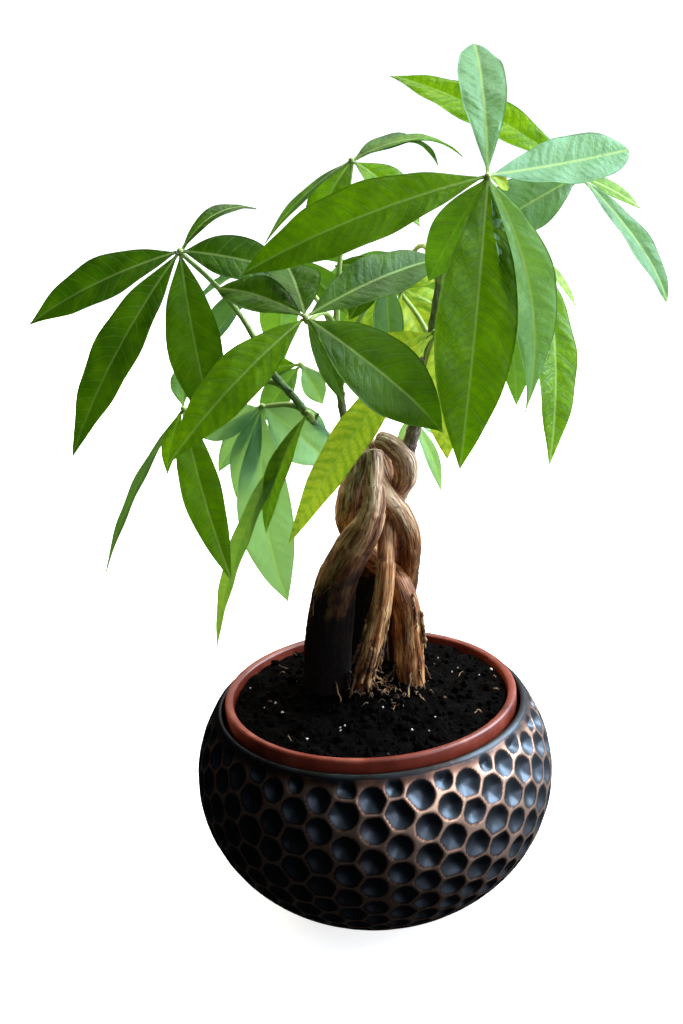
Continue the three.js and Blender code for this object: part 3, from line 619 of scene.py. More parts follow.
def green_stalk():
    """A leaf stalk: smooth, fresh yellow-green and slightly waxy."""
    material, tree, surface = new_finish("green_stalk")
    grain = add(tree, "ShaderNodeAttribute", attribute_name="grain").outputs["Vector"]
    streak = add(tree, "ShaderNodeMapping", {"Vector": grain, "Scale": stretched(0.9, 16)}).outputs["Vector"]
    tone = add(tree, "ShaderNodeTexNoise", {"Vector": streak, "Scale": 1.0, "Detail": 2.0}).outputs["Fac"]
    colour = add(tree, "ShaderNodeValToRGB", {"Fac": tone}, stops=[
        (0.3, "#86a044"), (0.7, "#bccb7c")]).outputs["Color"]
    tree.links.new(colour, surface.inputs["Base Color"])
    surface.inputs["Roughness"].default_value = 0.45
    return material


def leaf_blade():
    """A living leaf: thin, waxy, softly glossy, paler below, lit through from behind, with a pale midrib.
    Where a leaflet is marked pale, a painted mint sheen and a painted glow are laid on it.
    """
    material, tree, surface = new_finish("leaf_blade")
    place = add(tree, "ShaderNodeAttribute", attribute_name="blade").outputs["Vector"]
    young = add(tree, "ShaderNodeAttribute", attribute_name="young").outputs["Fac"]
    pale = add(tree, "ShaderNodeAttribute", attribute_name="pale").outputs["Fac"]
    parts = add(tree, "ShaderNodeSeparateXYZ", {"Vector": place})
    off = add(tree, "ShaderNodeMath", {0: parts.outputs["Y"]}, operation="ABSOLUTE").outputs[0]
    midrib = add(tree, "ShaderNodeMapRange", {
        "Value": off, "From Min": 0.28, "From Max": 0.75, "To Min": 0.9, "To Max": 0.0}).outputs["Result"]
    # The third part of the place counts the side veins, which are 5.4 mm apart; a vein is drawn 0.5 mm wide.
    turn = add(tree, "ShaderNodeMath", {0: parts.outputs["Z"]}, operation="FRACT").outputs[0]
    beside = add(tree, "ShaderNodeMath", {0: turn, 1: 0.5}, operation="SUBTRACT").outputs[0]
    between = add(tree, "ShaderNodeMath", {0: beside}, operation="ABSOLUTE").outputs[0]
    vein = add(tree, "ShaderNodeMapRange", {
        "Value": between, "From Min": 0.43, "From Max": 0.49, "To Min": 0.0, "To Max": 0.3}).outputs["Result"]
    lines = add(tree, "ShaderNodeMath", {0: vein, 1: midrib}, operation="MAXIMUM").outputs[0]
    # A yellowing leaf stays greener within about 1.5 mm of each side vein.
    green_band = add(tree, "ShaderNodeMapRange", {
        "Value": between, "From Min": 0.2, "From Max": 0.47, "To Min": 0.0, "To Max": 0.24}).outputs["Result"]
    # Between the side veins runs a net of small veins. Its meshes are about 1 mm on a real leaf, too fine to
    # show here, so they are drawn 3.2 mm across.
    flat = add(tree, "ShaderNodeCombineXYZ", {
        "X": parts.outputs["X"], "Y": parts.outputs["Y"]}).outputs["Vector"]
    mesh_size = 3.2
    net = add(tree, "ShaderNodeTexVoronoi", {"Vector": flat, "Scale": 1 / mesh_size},
              voronoi_dimensions="2D", feature="DISTANCE_TO_EDGE").outputs["Distance"]
    meshes = add(tree, "ShaderNodeMapRange", {
        "Value": net, "From Min": 0.0, "From Max": 0.14, "To Min": 0.13, "To Max": 0.0}).outputs["Result"]
    greened = add(tree, "ShaderNodeMath", {0: green_band, 1: meshes}, operation="ADD").outputs[0]
    kept = add(tree, "ShaderNodeMath", {0: greened, 1: young}, operation="MULTIPLY").outputs[0]
    ripe = add(tree, "ShaderNodeMath", {0: young, 1: kept}, operation="SUBTRACT").outputs[0]
    object_place = add(tree, "ShaderNodeTexCoord").outputs["Object"]
    mottle = add(tree, "ShaderNodeTexNoise", {
        "Vector": object_place, "Scale": spacing(13), "Detail": 5.0, "Roughness": 0.6}).outputs["Fac"]
    centred = add(tree, "ShaderNodeMath", {0: mottle, 1: 0.5}, operation="SUBTRACT").outputs[0]
    tone = add(tree, "ShaderNodeMath", {0: centred, 1: 0.55, 2: ripe}, operation="MULTIPLY_ADD").outputs[0]
    flesh = add(tree, "ShaderNodeValToRGB", {"Fac": tone}, stops=[
        (0.0, "#284402"), (0.35, "#496e04"), (0.7, "#7a9a0c"), (1.0, "#b9c02c")]).outputs["Color"]
    # Mixing in this mint by pale paints a sheen, the reflection of a bluish sky, into the base colour;
    # on the lower face it also stands for the real paler underside.
    dull = add(tree, "ShaderNodeMix", {
        FACTOR: pale, FIRST: flesh, SECOND: linear("#7cae8c")}, data_type="RGBA")
    ribbed = add(tree, "ShaderNodeMix", {
        FACTOR: lines, FIRST: dull.outputs[MIXED], SECOND: linear("#b2c670")}, data_type="RGBA")
    tree.links.new(ribbed.outputs[MIXED], surface.inputs["Base Color"])
    surface.inputs["Roughness"].default_value = 0.42
    surface.inputs["Specular IOR Level"].default_value = 0.25
    # Real cells are far too small to show. Drawn 1.4 mm apart, they break the sheen as wax does.
    cells = add(tree, "ShaderNodeTexNoise", {
        "Vector": object_place, "Scale": spacing(1.4), "Detail": 2.0}).outputs["Fac"]
    puckered = add(tree, "ShaderNodeMath", {0: net, 1: 1.5, 2: cells}, operation="MULTIPLY_ADD").outputs[0]
    sunk = add(tree, "ShaderNodeMath", {0: lines, 1: -1.6, 2: puckered}, operation="MULTIPLY_ADD").outputs[0]
    bump = add(tree, "ShaderNodeBump", {"Height": sunk, "Strength": 0.4, "Distance": 0.0005})
    tree.links.new(bump.outputs["Normal"], surface.inputs["Normal"])
    glow = add(tree, "ShaderNodeValToRGB", {"Fac": tone}, stops=[
        (0.0, "#4c7008"), (0.5, "#96ba18"), (1.0, "#e2e658")]).outputs["Color"]
    # Mixing in this pale yellow-green by pale paints a glow: it makes the light through pale leaflets
    # brighter.
    through_colour_and_painted_glow = add(tree, "ShaderNodeMix", {
        FACTOR: pale, FIRST: glow, SECOND: linear("#b9d29c")}, data_type="RGBA")
    through = add(tree, "ShaderNodeBsdfTranslucent", {"Color": through_colour_and_painted_glow.outputs[MIXED]}).outputs["BSDF"]
    mixed = add(tree, "ShaderNodeMixShader", {
        0: 0.48, 1: surface.outputs["BSDF"], 2: through}).outputs["Shader"]
    tree.links.new(mixed, tree.nodes["Material Output"].inputs["Surface"])
    return material


def studio_paper():
    """A seamless roll of matt white paper."""
    material, _, surface = new_finish("studio_paper")
    surface.inputs["Base Color"].default_value = linear("#e6e6e6")
    surface.inputs["Roughness"].default_value = 0.9
    surface.inputs["Specular IOR Level"].default_value = 0.1
    surface.inputs["Emission Color"].default_value = linear("#ffffff")
    surface.inputs["Emission Strength"].default_value = 0.8
    return material


# ---- the hammered bowl ----

def bowl_radius(z, inset=0.0):
    """The bowl's radius at a height, or that of the same curve set in from it."""
    rise = (z - BOWL["middle"]) / (BOWL["half_height"] - inset)
    return (BOWL["radius"] - inset) * math.sqrt(1 - rise * rise)


def bowl_heights(per_row):
    """Heights down the bowl's wall, from the collar to the foot, each with its place in half rows."""
    row_turn = math.sqrt(3) * 2 * math.pi / BOWL["spokes"]
    lowest = 0.6
    z = BOWL["mouth"] - BOWL["collar"]
    place = float(BOWL["half_rows"])
    rows = [(z + 2.6, place + 0.4), (z + 1.7, place + 0.26), (z + 0.85, place + 0.13), (z, place)]
    parts = 6
    while z > lowest:
        for _ in range(parts):
            drop = (bowl_radius(z - 0.01) - bowl_radius(z + 0.01)) / 0.02
            z -= row_turn * bowl_radius(z) / math.hypot(1, drop) / parts / per_row
        place -= 1 / per_row
        rows.append((max(z, lowest), place))
    return rows


def dimple_centres():
    """Where the hammer struck: (spoke, half row, size), a bit uneven, with small blows under the collar."""
    centres = []
    for row in range(1, BOWL["half_rows"] + 1):
        for spoke in range(0 if row % 2 == 0 else 3, BOWL["spokes"], 6):
            top = row == BOWL["half_rows"]
            shift = rng.uniform(-0.3, 0.3, 2)
            size = rng.uniform(-0.2, 0.12) - (0.42 if top else 0)
            centres.append((spoke + shift[0] - 0.7, row + shift[1] * 0.5 - (0.26 if top else 0), size))
    return np.array(centres)


def hammered(centres, spoke, row, reach):
    """How deep the wall is pressed in at each point, and how near it is to a ridge, from 0 to 1."""
    length = reach * 2 * math.pi / BOWL["spokes"]
    near = np.full(spoke.shape, 1e9)
    next_near = near.copy()
    for centre_spoke, centre_row, size in centres:
        close = np.abs(row - centre_row) < 2.6
        sideways = (spoke - centre_spoke + BOWL["spokes"] / 2) % BOWL["spokes"] - BOWL["spokes"] / 2
        close &= np.abs(sideways) < 6
        distance = np.hypot(sideways[close], math.sqrt(3) * (row[close] - centre_row)) - size
        first = np.minimum(near[close], distance)
        next_near[close] = np.minimum(next_near[close], np.maximum(near[close], distance))
        near[close] = first
    to_ridge = (next_near - near) / 2 * length
    to_ridge = np.minimum(to_ridge, (BOWL["hollow"] - near) * length)
    to_ridge = np.minimum(to_ridge, (BOWL["half_rows"] + 0.42 - row) * math.sqrt(3) * length)
    to_ridge = np.minimum(to_ridge, (row - 0.3) * math.sqrt(3) * length)
    inward = np.clip((to_ridge - BOWL["ridge"]) / np.maximum(1.732 * length - BOWL["ridge"], 1), 0, 1)
    depth = BOWL["dimple"] * (0.8 * (1 - (1 - inward) ** 2) + 0.2 * smoothstep(0, 1, inward))
    depth = depth * np.clip(length / 4.0, 0.4, 1)
    collar = smoothstep(BOWL["half_rows"] - 0.4, BOWL["half_rows"] + 0.3, row)
    return depth, (1 - smoothstep(0.35, 1.35, to_ridge)) * (1 - 0.62 * collar)


def build_bowl(copper):
    """One closed shell, from the middle of its floor up the inside, over the lip and down the wall."""
    per_spoke = 4
    sides = BOWL["spokes"] * per_spoke
    rows = bowl_heights(per_row=7)
    angles = around(sides)
    centres = dimple_centres()
    points = []
    ridges = []
    for z, place in rows:
        spokes = np.arange(sides) / per_spoke
        reach = bowl_radius(z)
        depth, ridge = hammered(centres, spokes, np.full(sides, place), np.full(sides, reach))
        slope = (z - BOWL["middle"]) / BOWL["half_height"]
        out = reach - depth * math.sqrt(1 - slope * slope)
        points.append(np.stack([out * np.cos(angles), out * np.sin(angles), z - depth * slope], -1))
        ridges.append(ridge)
    wall = BOWL["wall"]
    mouth = BOWL["mouth"]
    collar = [(bowl_radius(z), z) for z in np.linspace(mouth - 0.9, mouth - BOWL["collar"] + 3.2, 3)]
    lip = [(bowl_radius(mouth) - wall, mouth - 0.6), (bowl_radius(mouth) - wall + 0.5, mouth),
           (bowl_radius(mouth) - 0.9, mouth), (bowl_radius(mouth) - 0.25, mouth - 0.35)]
    heights = np.linspace(BOWL["floor"] + 1.5, mouth - 4, 40)
    inside = [(1.0, BOWL["floor"])] + [(bowl_radius(z, BOWL["inner_inset"]), z) for z in heights]
    foot = [(bowl_radius(0.0) - 0.6, 0.0), (1.0, 0.0)]
    rings = [ring(radius, z, angles) for radius, z in inside + lip + collar]
    rings += points + [ring(radius, z, angles) for radius, z in foot]
    # How worn the metal is: hardly inside, a little on the lip, most on the ridges and somewhat on the foot.
    inner_wear, lip_wear, foot_wear = (0.1, 0.2, 0.4)
    wear = np.concatenate([
        np.full(sides * len(inside), inner_wear), np.full(sides * (len(lip) + len(collar)), lip_wear),
        np.concatenate(ridges), np.full(sides * len(foot), foot_wear), [inner_wear, foot_wear]])
    faces = [face[::-1] for face in closed_faces(len(rings), sides)]
    points = np.vstack(rings + [(0, 0, BOWL["floor"]), (0, 0, 0)])
    make_piece("hammered_bowl", [shell(points, faces, ridge=wear)], [copper], "outer_pot")


# ---- the nursery pot and the soil ----

NURSERY_BASE = BOWL["floor"] + 0.3
NURSERY_NECK = NURSERY["top"] - NURSERY["band"]


def nursery_inside(z):
    """The radius inside the nursery pot's wall at a height."""
    rise = (z - NURSERY_BASE) / (NURSERY_NECK - NURSERY_BASE)
    return NURSERY["foot"] + (NURSERY["neck"] - NURSERY["foot"]) * rise - NURSERY["wall"]


def arc(centre, radius, start, end, count=7):
    """Points on an arc of a profile, its angles in degrees."""
    turns = [math.radians(start + (end - start) * k / (count - 1)) for k in range(count)]
    return [(centre[0] + radius * math.cos(t), centre[1] + radius * math.sin(t)) for t in turns]


def build_nursery_pot(plastic):
    """The plastic pot turned from its profile, with its drain holes cut through the bottom."""
    top, rim, lip, wall = (NURSERY[key] for key in ("top", "rim", "lip", "wall"))
    base = NURSERY_BASE
    foot, neck = (NURSERY["foot"], NURSERY["neck"])
    profile = (
        [(0, base), (foot - 1, base), (foot, base + 1), (neck, NURSERY_NECK - 3)]
        + [(neck + 0.8, NURSERY_NECK - 1.2), (rim - 1, NURSERY_NECK), (rim - 0.2, NURSERY_NECK + 0.6)]
        + arc((rim - 1.6, top - 1.6), 1.6, 0, 80)
        + [(rim - lip + 1.4, top - 0.25)]
        + arc((rim - lip + 1.2, top - 1.6), 1.2, 100, 180)
        + [(rim - lip - 0.1, NURSERY_NECK + 3), (nursery_inside(NURSERY_NECK), NURSERY_NECK - 1)]
        + [(nursery_inside(base + wall + 1), base + wall + 1), (nursery_inside(base) - 1, base + wall)]
        + [(0, base + wall)])
    pot = make_piece("nursery_pot", [turned(profile, 144)], [plastic], "inner_pot")
    drain = NURSERY["drain_radius"]
    bore = turned([(0, base - 2), (drain, base - 2), (drain, base + 4), (0, base + 4)], 32)
    for k in range(NURSERY["drains"]):
        angle = 2 * math.pi * (k + 0.5) / NURSERY["drains"]
        x, y = (NURSERY["drain_circle"] * math.cos(angle), NURSERY["drain_circle"] * math.sin(angle))
        cut_hole(pot, bore["points"] + (x, y, 0), bore["faces"])


def cut_hole(piece, points, faces):
    """Cuts a closed shape out of a piece and keeps nothing of the cutter."""
    mesh = bpy.data.meshes.new("cutter")
    mesh.from_pydata((points * MM).tolist(), [], faces)
    cutter = bpy.data.objects.new("cutter", mesh)
    bpy.context.scene.collection.objects.link(cutter)
    hole = piece.modifiers.new("hole", "BOOLEAN")
    hole.operation = "DIFFERENCE"
    hole.object = cutter
    bpy.context.view_layer.update()
    ready = piece.evaluated_get(bpy.context.evaluated_depsgraph_get())
    cut = bpy.data.meshes.new_from_object(ready)
    piece.modifiers.clear()
    piece.data = cut
    bpy.data.objects.remove(cutter)


def soil_height(x, y):
    """The soil's top: mounded up round the stems, lumpy and loose."""
    near = math.exp(-((x - SOIL["centre"][0]) ** 2 + (y - SOIL["centre"][1]) ** 2) / SOIL["spread"] ** 2)
    lump = SOIL["lump"] * (math.sin(x * 0.31 + 1) * math.cos(y * 0.27) + 0.6 * math.sin(x * 0.17 - y * 0.23))
    loose = 1.5 * noise.fractal(Vector((x * 0.11, y * 0.11, 3)), 0.8, 2.1, 4)
    crumbly = 0.7 * noise.noise(Vector((x * 0.62, y * 0.62, 7)))
    edge = float(smoothstep(69, 64, np.array(math.hypot(x, y))))
    return SOIL["edge"] + (SOIL["crown"] - SOIL["edge"]) * near + lump + (loose + crumbly) * edge


def build_soil(peat):
    """The soil that fills the nursery pot, closed below, with its lumpy top in rings."""
    sides = 220
    middle = 1.5
    angles = around(sides)
    side_top = SOIL["edge"] - SOIL["rim_drop"]
    rim = nursery_inside(side_top) + 0.2
    base = NURSERY_BASE + NURSERY["wall"] + 0.3
    rings = [ring(middle, base, angles), ring(nursery_inside(base) - 0.5, base, angles)]
    rings.append(ring(rim, side_top, angles))
    for reach in np.linspace(rim, middle, 52):
        rings.append([(x, y, soil_height(x, y)) for x, y, _ in ring(reach, 0, angles)])
    points = np.vstack(rings + [(0, 0, base), (0, 0, soil_height(0, 0))])
    faces = closed_faces(len(rings), sides)
    make_piece("potting_soil", [shell(points, faces)], [peat], "soil")


def lump_shape(detail):
    """An icosphere as points and faces."""
    mesh = bpy.data.meshes.new("lump")
    form = bmesh.new()
    bmesh.ops.create_icosphere(form, subdivisions=detail, radius=1)
    form.to_mesh(mesh)
    form.free()
    points = np.array([v.co[:] for v in mesh.vertices])
    faces = [list(p.vertices) for p in mesh.polygons]
    bpy.data.meshes.remove(mesh)
    return points, faces


def scattered_spot(inner=0, outer=LITTER["reach"]):
    """A random spot on the soil."""
    reach = math.sqrt(rng.uniform(inner ** 2, outer ** 2))
    angle = rng.uniform(0, 2 * math.pi)
    return reach * math.cos(angle), reach * math.sin(angle)


def build_crumbs(peat, white):
    """Loose crumbs of peat, every fifth one a large one, and white grains."""
    points, faces = lump_shape(2)
    crumbs = []
    grains = []
    for k in range(LITTER["crumbs"]):
        x, y = scattered_spot()
        size = rng.uniform(0.6, 1.3) if k % 5 else rng.uniform(1.4, 2.6)
        knocked = points * (1 + rng.uniform(-0.28, 0.28, (len(points), 1)))
        knocked = knocked * rng.uniform(0.65, 1.25, 3) * size
        crumbs.append(shell(knocked + (x, y, soil_height(x, y) + size * 0.25), faces))
    for _ in range(LITTER["grains"]):
        x, y = scattered_spot(20)
        size = rng.uniform(0.3, 0.75)
        knocked = points * (1 + rng.uniform(-0.2, 0.2, (len(points), 1))) * size
        grains.append(shell(knocked + (x, y, soil_height(x, y) + size * 0.6), faces))
    make_piece("soil_crumbs", crumbs, [peat])
    make_piece("perlite_grains", grains, [white])


def build_soil_fibres(fibre):
    """Loose threads that lie on the soil, most of them near the stems."""
    threads = []
    for k in range(LITTER["threads"]):
        x, y = scattered_spot(12, 66)
        if k % 4:
            x, y = rng.normal((10, -12), (9, 6))
        heading = rng.uniform(0, 2 * math.pi)
        length = rng.uniform(1.5, 5.5)
        turn = rng.uniform(-1.4, 1.4)
        path = []
        for t in np.linspace(0, 1, 7):
            bend = heading + turn * t
            px = x + length * t * math.cos(bend)
            py = y + length * t * math.sin(bend)
            if math.hypot(px, py) > LITTER["reach"] - 1:
                break
            rise = 0.5 + rng.uniform(0, 0.8) + 1.2 * math.sin(math.pi * t)
            path.append((px, py, soil_height(px, py) + rise))
        if len(path) > 3:
            path = np.array(path)
            radii = np.full(len(path), rng.uniform(0.14, 0.4))
            radii[[0, -1]] *= 0.4
            threads.append(tube(path, radii, 5))
    make_piece("soil_fibres", threads, [fibre])


# ---- the braided seedlings ----

def bark_relief(seed):
    """Lumps, long ridges and shallow cross creases, for one stem."""
    def relief(angles, travelled, reach):
        out = np.zeros(reach.shape)
        creases = np.cumsum(rng.uniform(11, 24, 24))
        share = np.linspace(0, 1, len(travelled))
        for i, length in enumerate(travelled):
            crease = -RELIEF["crease"] * np.exp(-((length - creases) / 0.8) ** 2).sum()
            swell = RELIEF["swell"] * np.exp(-((length - creases - 2.4) / 1.8) ** 2).sum()
            for j, angle in enumerate(angles):
                r = reach[i, j]
                x, y = (r * math.cos(angle), r * math.sin(angle))
                lump = noise.noise(Vector((x * 0.09, y * 0.09, length * 0.05 + seed)))
                ridge = noise.noise(Vector((x * 0.38, y * 0.38, length * 0.022 + seed * 3)))
                strand = noise.noise(Vector((x * 0.85, y * 0.85, length * 0.05 + seed * 7)))
                out[i, j] = RELIEF["lump"] * lump + RELIEF["ridge"] * ridge + RELIEF["strand"] * strand
                out[i, j] += crease + swell
        ribs = RELIEF["rib"] * np.cos(3 * angles[None, :] + 4 * share[:, None])
        return out + reach * ribs
    return relief


def build_stems(bark, cut_wood):
    """The braided stems. The pruned top of each shows cut wood."""
    step = 1.15
    for number, (name, stations) in enumerate(SEEDLINGS.items()):
        path = grown_curve(stations, int(rough_length(stations) / step))
        radii = path[:, 3].copy()
        radii[:3] *= (0.78, 0.93, 0.99)
        # Each stem's age is how dark it is painted near the soil, partly damp bark and partly painted shade.
        stem = tube(path[:, :3], radii, STEM_SIDES, relief=bark_relief(number * 11.3), age=BARK_DAMP_AND_SHADE[name])
        top_point = len(path) * STEM_SIDES
        cut = [face for face in stem["faces"] if face[-1] == top_point]
        stem["faces"] = [face for face in stem["faces"] if face[-1] != top_point]
        parts = [stem, shell(stem["points"], cut, 1, **stem["values"])]
        make_piece(name + "_stem", parts, [bark, cut_wood], name)


def build_shoots(shoot_bark):
    """The living shoots, ringed with leaf scars, with the pegs of some stalks that fell off."""
    for name, (seedling, stations) in SHOOTS.items():
        count = int(rough_length(stations))
        path = grown_curve(stations, count)
        share = np.linspace(0, 1, count)
        scars = np.cumsum(rng.uniform(5, 11, 30))
        travelled = share * count
        swell = 0.32 * np.exp(-((travelled[:, None] - scars[None, :]) / 0.9) ** 2).sum(axis=1)
        foot = 1.0 * np.exp(-travelled / 4)
        first, last = SHOOT_GREEN[name]
        young = first + (last - first) * np.concatenate([np.repeat(share, SHOOT_SIDES), [0, 1]])
        parts = [tube(path[:, :3], path[:, 3] + swell + foot, SHOOT_SIDES, young=young)]
        for scar in scars[1::3]:
            if scar < count - 8:
                parts.append(stub(path[int(scar), :3], path[int(scar), 3], path[int(scar) + 4, :3], first))
        make_piece("shoot_" + name, parts, [shoot_bark], seedling)


def stub(place, radius, ahead, young):
    """What is left of a leaf stalk that fell off: a short peg that leans up along the shoot."""
    along = unit(ahead - place)
    aside = unit(np.cross(along, rng.normal(size=3)))
    length = 4.2
    lean = aside * 0.8 + along * 0.6
    path = np.array([place + aside * radius * 0.5 + lean * t for t in np.linspace(0, length, 6)])
    return tube(path, radius * np.array([0.75, 0.6, 0.5, 0.46, 0.46, 0.5]), 10, young=young)


def build_peeling_bark(fibre):
    """Strips of bark fibre that lift off the lower stems."""
    strips = []
    for name, stations in SEEDLINGS.items():
        path = grown_curve(stations, 260)
        _, side, across = carried_frame(path[:, :3])
        ragged = name in RAGGED_STEMS
        top = PEELING["loop_top"] if name == "seedling_loop" else PEELING["top"]
        low = [k for k in range(len(path)) if PEELING["bottom"] < path[k, 2] < top]
        for n in range(PEELING["many"] if ragged else PEELING["few"]):
            rooty = ragged and n % 2 == 0
            span = int(rng.integers(16, 30)) if rooty else int(rng.integers(8, 15))
            start = int(rng.choice(low[:-span]))
            angle = rng.uniform(0, 2 * math.pi)
            drift = rng.uniform(-0.5, 0.5) if rooty else rng.uniform(-0.25, 0.25)
            lift = rng.uniform(0.2, 2.2) if rooty else rng.uniform(0.2, 1.0)
            points = []
            for k in range(span):
                t = k / (span - 1)
                i = start + k
                turn = angle + drift * t
                reach = path[i, 3] + 0.25 + lift * t * t
                points.append(path[i, :3] + reach * (side[i] * math.cos(turn) + across[i] * math.sin(turn)))
            points = np.array(points) + rng.normal(0, 0.22 if rooty else 0.08, (span, 3))
            radii = np.full(span, rng.uniform(0.5, 1.05) if rooty else rng.uniform(0.16, 0.36))
            radii *= rng.uniform(0.8, 1.2, span)
            radii[[0, -1]] *= 0.3
            strips.append(tube(points, radii, 7))
    make_piece("peeling_bark", strips, [fibre])


def build_surface_roots(fibre):
    """Thin roots that leave the stems just above the soil and go down into it."""
    roots = []
    for name, stations in SEEDLINGS.items():
        foot = np.array(min(stations, key=lambda s: abs(s[2] - 120)))
        for _ in range(8 if name in RAGGED_STEMS else 3):
            angle = rng.uniform(0, 2 * math.pi)
            direction = np.array([math.cos(angle), math.sin(angle), 0])
            start = foot[:3] + direction * foot[3] * 0.8 + (0, 0, rng.uniform(-2, 5))
            reach = rng.uniform(5, 15)
            end = start + direction * reach
            end[2] = soil_height(end[0], end[1]) - 1.2
            knee = start + direction * reach * 0.5
            knee[2] = (start[2] + end[2]) / 2 + rng.uniform(-1, 1)
            path = bent_curve(start, start + direction * 2, knee, end, 10)
            path[1:-1] += rng.uniform(-0.4, 0.4, (8, 3))
            roots.append(tube(path, np.linspace(rng.uniform(0.5, 1.1), 0.3, 10), 6))
    make_piece("surface_roots", roots, [fibre])


# ---- leaves ----

def leaf_frame(face):
    """The leaf's upward and sideways directions and the way that it faces."""
    heading, pitch = (math.radians(a) for a in face)
    level = math.cos(pitch)
    normal = np.array([math.cos(heading) * level, math.sin(heading) * level, math.sin(pitch)])
    up = unit(np.array([0, 0, 1.0]) - normal * normal[2])
    return up, np.cross(up, normal), normal


def blade_outline(s, tip):
    """Half the blade's width at each part of its length, as a part of its full width. A low tip is round."""
    def form(x):
        return x ** BLADE["base_curve"] * (1 - x) ** tip
    widest = BLADE["base_curve"] / (BLADE["base_curve"] + tip)
    return form(s) / form(widest) / 2


def blade(hub, frame_axes, tone, clock, dip, length, width, arch=0.08, bow=0.0, roll=0.0, hook=0.0, twist=0.0,
          tip=BLADE["tip_curve"]):
    """One leaflet: a thin closed blade, folded up along its midrib, quilted between its side veins."""
    up, right, normal = frame_axes
    clock, dip, roll, twist, fold = (math.radians(a) for a in (clock, dip, roll, twist, BLADE["fold"]))
    along = math.cos(dip) * (math.cos(clock) * up + math.sin(clock) * right) - math.sin(dip) * normal
    top = unit(normal - normal.dot(along) * along)
    top = math.cos(roll) * top + math.sin(roll) * np.cross(along, top)
    across = np.cross(along, top)
    rows = max(16, round(length / 1.15))
    s = np.linspace(0, 1, rows)
    rise = 4 * s * (1 - s)
    spine = BLADE["start"] + (length - BLADE["start"]) * s
    middle = (hub + np.outer(spine, along) + np.outer(arch * rise * length, top)
              + np.outer(bow * rise * length, across))
    middle = middle - np.outer(hook * length * np.clip((s - 0.62) / 0.38, 0, 1) ** 2, top)
    flat_lift = unit(top[None, :] - np.outer(4 * (1 - 2 * s) * arch, along))
    turn = (twist * s ** 2)[:, None]
    lift = (np.cos(turn) * flat_lift - np.sin(turn) * across)[:, None, :]
    across = (np.cos(turn) * across + np.sin(turn) * flat_lift)[:, None, :]
    half = np.maximum(blade_outline(s, tip) * width, BLADE["root"] / 2 * (1 - s) + BLADE["margin"])
    each_side = max(6, round(width / 2 / 1.25) + 2)
    rib = np.minimum(0.45, 0.16 * half)[:, None]
    shoulder = np.minimum(1.0, 0.34 * half)[:, None]
    spread = np.linspace(0, 1, each_side - 1)[None, :]
    offsets = np.hstack([0 * rib, rib, shoulder + (half[:, None] - shoulder) * spread])
    x = np.hstack([-offsets[:, :0:-1], offsets])
    edge = np.abs(x) / half[:, None]
    phase = rng.uniform(0, 2 * math.pi)
    size = np.clip(half[:, None] / 9, 0, 1)
    folded = np.abs(x) * math.sin(fold) * (1.12 - 0.3 * edge ** 2)
    swing = 2 * math.pi * spine[:, None] / BLADE["wave_length"] + phase + np.sign(x) * 0.9
    wave = BLADE["wave"] * size * np.sin(swing) * edge ** 2
    veins = spine[:, None] - BLADE["vein_slope"] * np.abs(x) - BLADE["vein_bend"] * x ** 2
    drift = 0.17 * np.sin(spine[:, None] * 0.23 + phase + np.sign(x))
    drift = drift + 0.1 * np.sin(spine[:, None] * 0.61 - 2 * phase)
    veins = veins / BLADE["side_veins"] + np.where(x > 0, 0.5, 0.0) + drift
    puffed = np.abs(np.sin(math.pi * veins)) ** 0.7
    puffed = puffed * np.clip(np.abs(x) / 2.4, 0, 1) * np.clip((1 - edge) * 5, 0, 1)
    puffed = puffed * (0.7 + 0.5 * np.sin(spine[:, None] * 0.33 + 0.45 * x + phase))
    height = folded + wave + BLADE["quilting"] * size * puffed
    drawn_in = x * math.cos(fold)
    sheet = middle[:, None, :] + drawn_in[..., None] * across + height[..., None] * lift
    thick = BLADE["thick"] / 2 * (1 - 0.7 * edge ** 3)
    keel = BLADE["keel"] * (1 - 0.8 * s)[:, None] * np.clip(1 - np.abs(x) / np.maximum(shoulder, 0.3), 0, 1)
    upper = sheet + thick[..., None] * lift
    lower = sheet - (thick + keel)[..., None] * lift
    columns = x.shape[1]
    count = rows * columns
    faces = [face[::-1] for face in grid_faces(rows, columns)] + grid_faces(rows, columns, start=count)
    for k in range(rows - 1):
        left, right_edge = (k * columns, k * columns + columns - 1)
        faces.append([left, left + count, left + columns + count, left + columns][::-1])
        faces.append([right_edge, right_edge + count, right_edge + columns + count, right_edge + columns])
    last = (rows - 1) * columns
    for k in range(columns - 1):
        faces.append([k, k + count, k + 1 + count, k + 1])
        faces.append([last + k, last + k + count, last + k + 1 + count, last + k + 1][::-1])
    place = np.stack([np.broadcast_to(spine[:, None], x.shape), x, veins], -1).reshape(-1, 3)
    young = np.clip(tone[0] + rng.uniform(-0.05, 0.05), 0, 1)
    # The pale value paints a mint sheen and a glow through the leaf on the upper face; the lower face is
    # at least half pale, for its real paler underside, in the same mint colour.
    pale = np.repeat([tone[1], max(tone[1], 0.5)], count)
    return shell(np.vstack([upper.reshape(-1, 3), lower.reshape(-1, 3)]), faces, 0,
                 blade=np.vstack([place, place]), young=young, pale=pale)


def leaf_stalk(start, hub, normal, lift):
    """A stalk that rises from the shoot and carries the hub, swollen at both ends."""
    span = np.linalg.norm(hub - start)
    first = start + (hub - start) * 0.35 + np.array([0, 0, lift * span])
    path = bent_curve(start, first, hub - 0.2 * span * normal, hub, PETIOLE["rings"])
    t = np.linspace(0, 1, PETIOLE["rings"])
    radii = PETIOLE["base"] + (PETIOLE["tip"] - PETIOLE["base"]) * t
    radii = radii + 0.9 * np.exp(-t * span / 3.5) + 0.5 * np.exp(-(1 - t) * span / 4)
    return tube(path, radii, 12, 1)


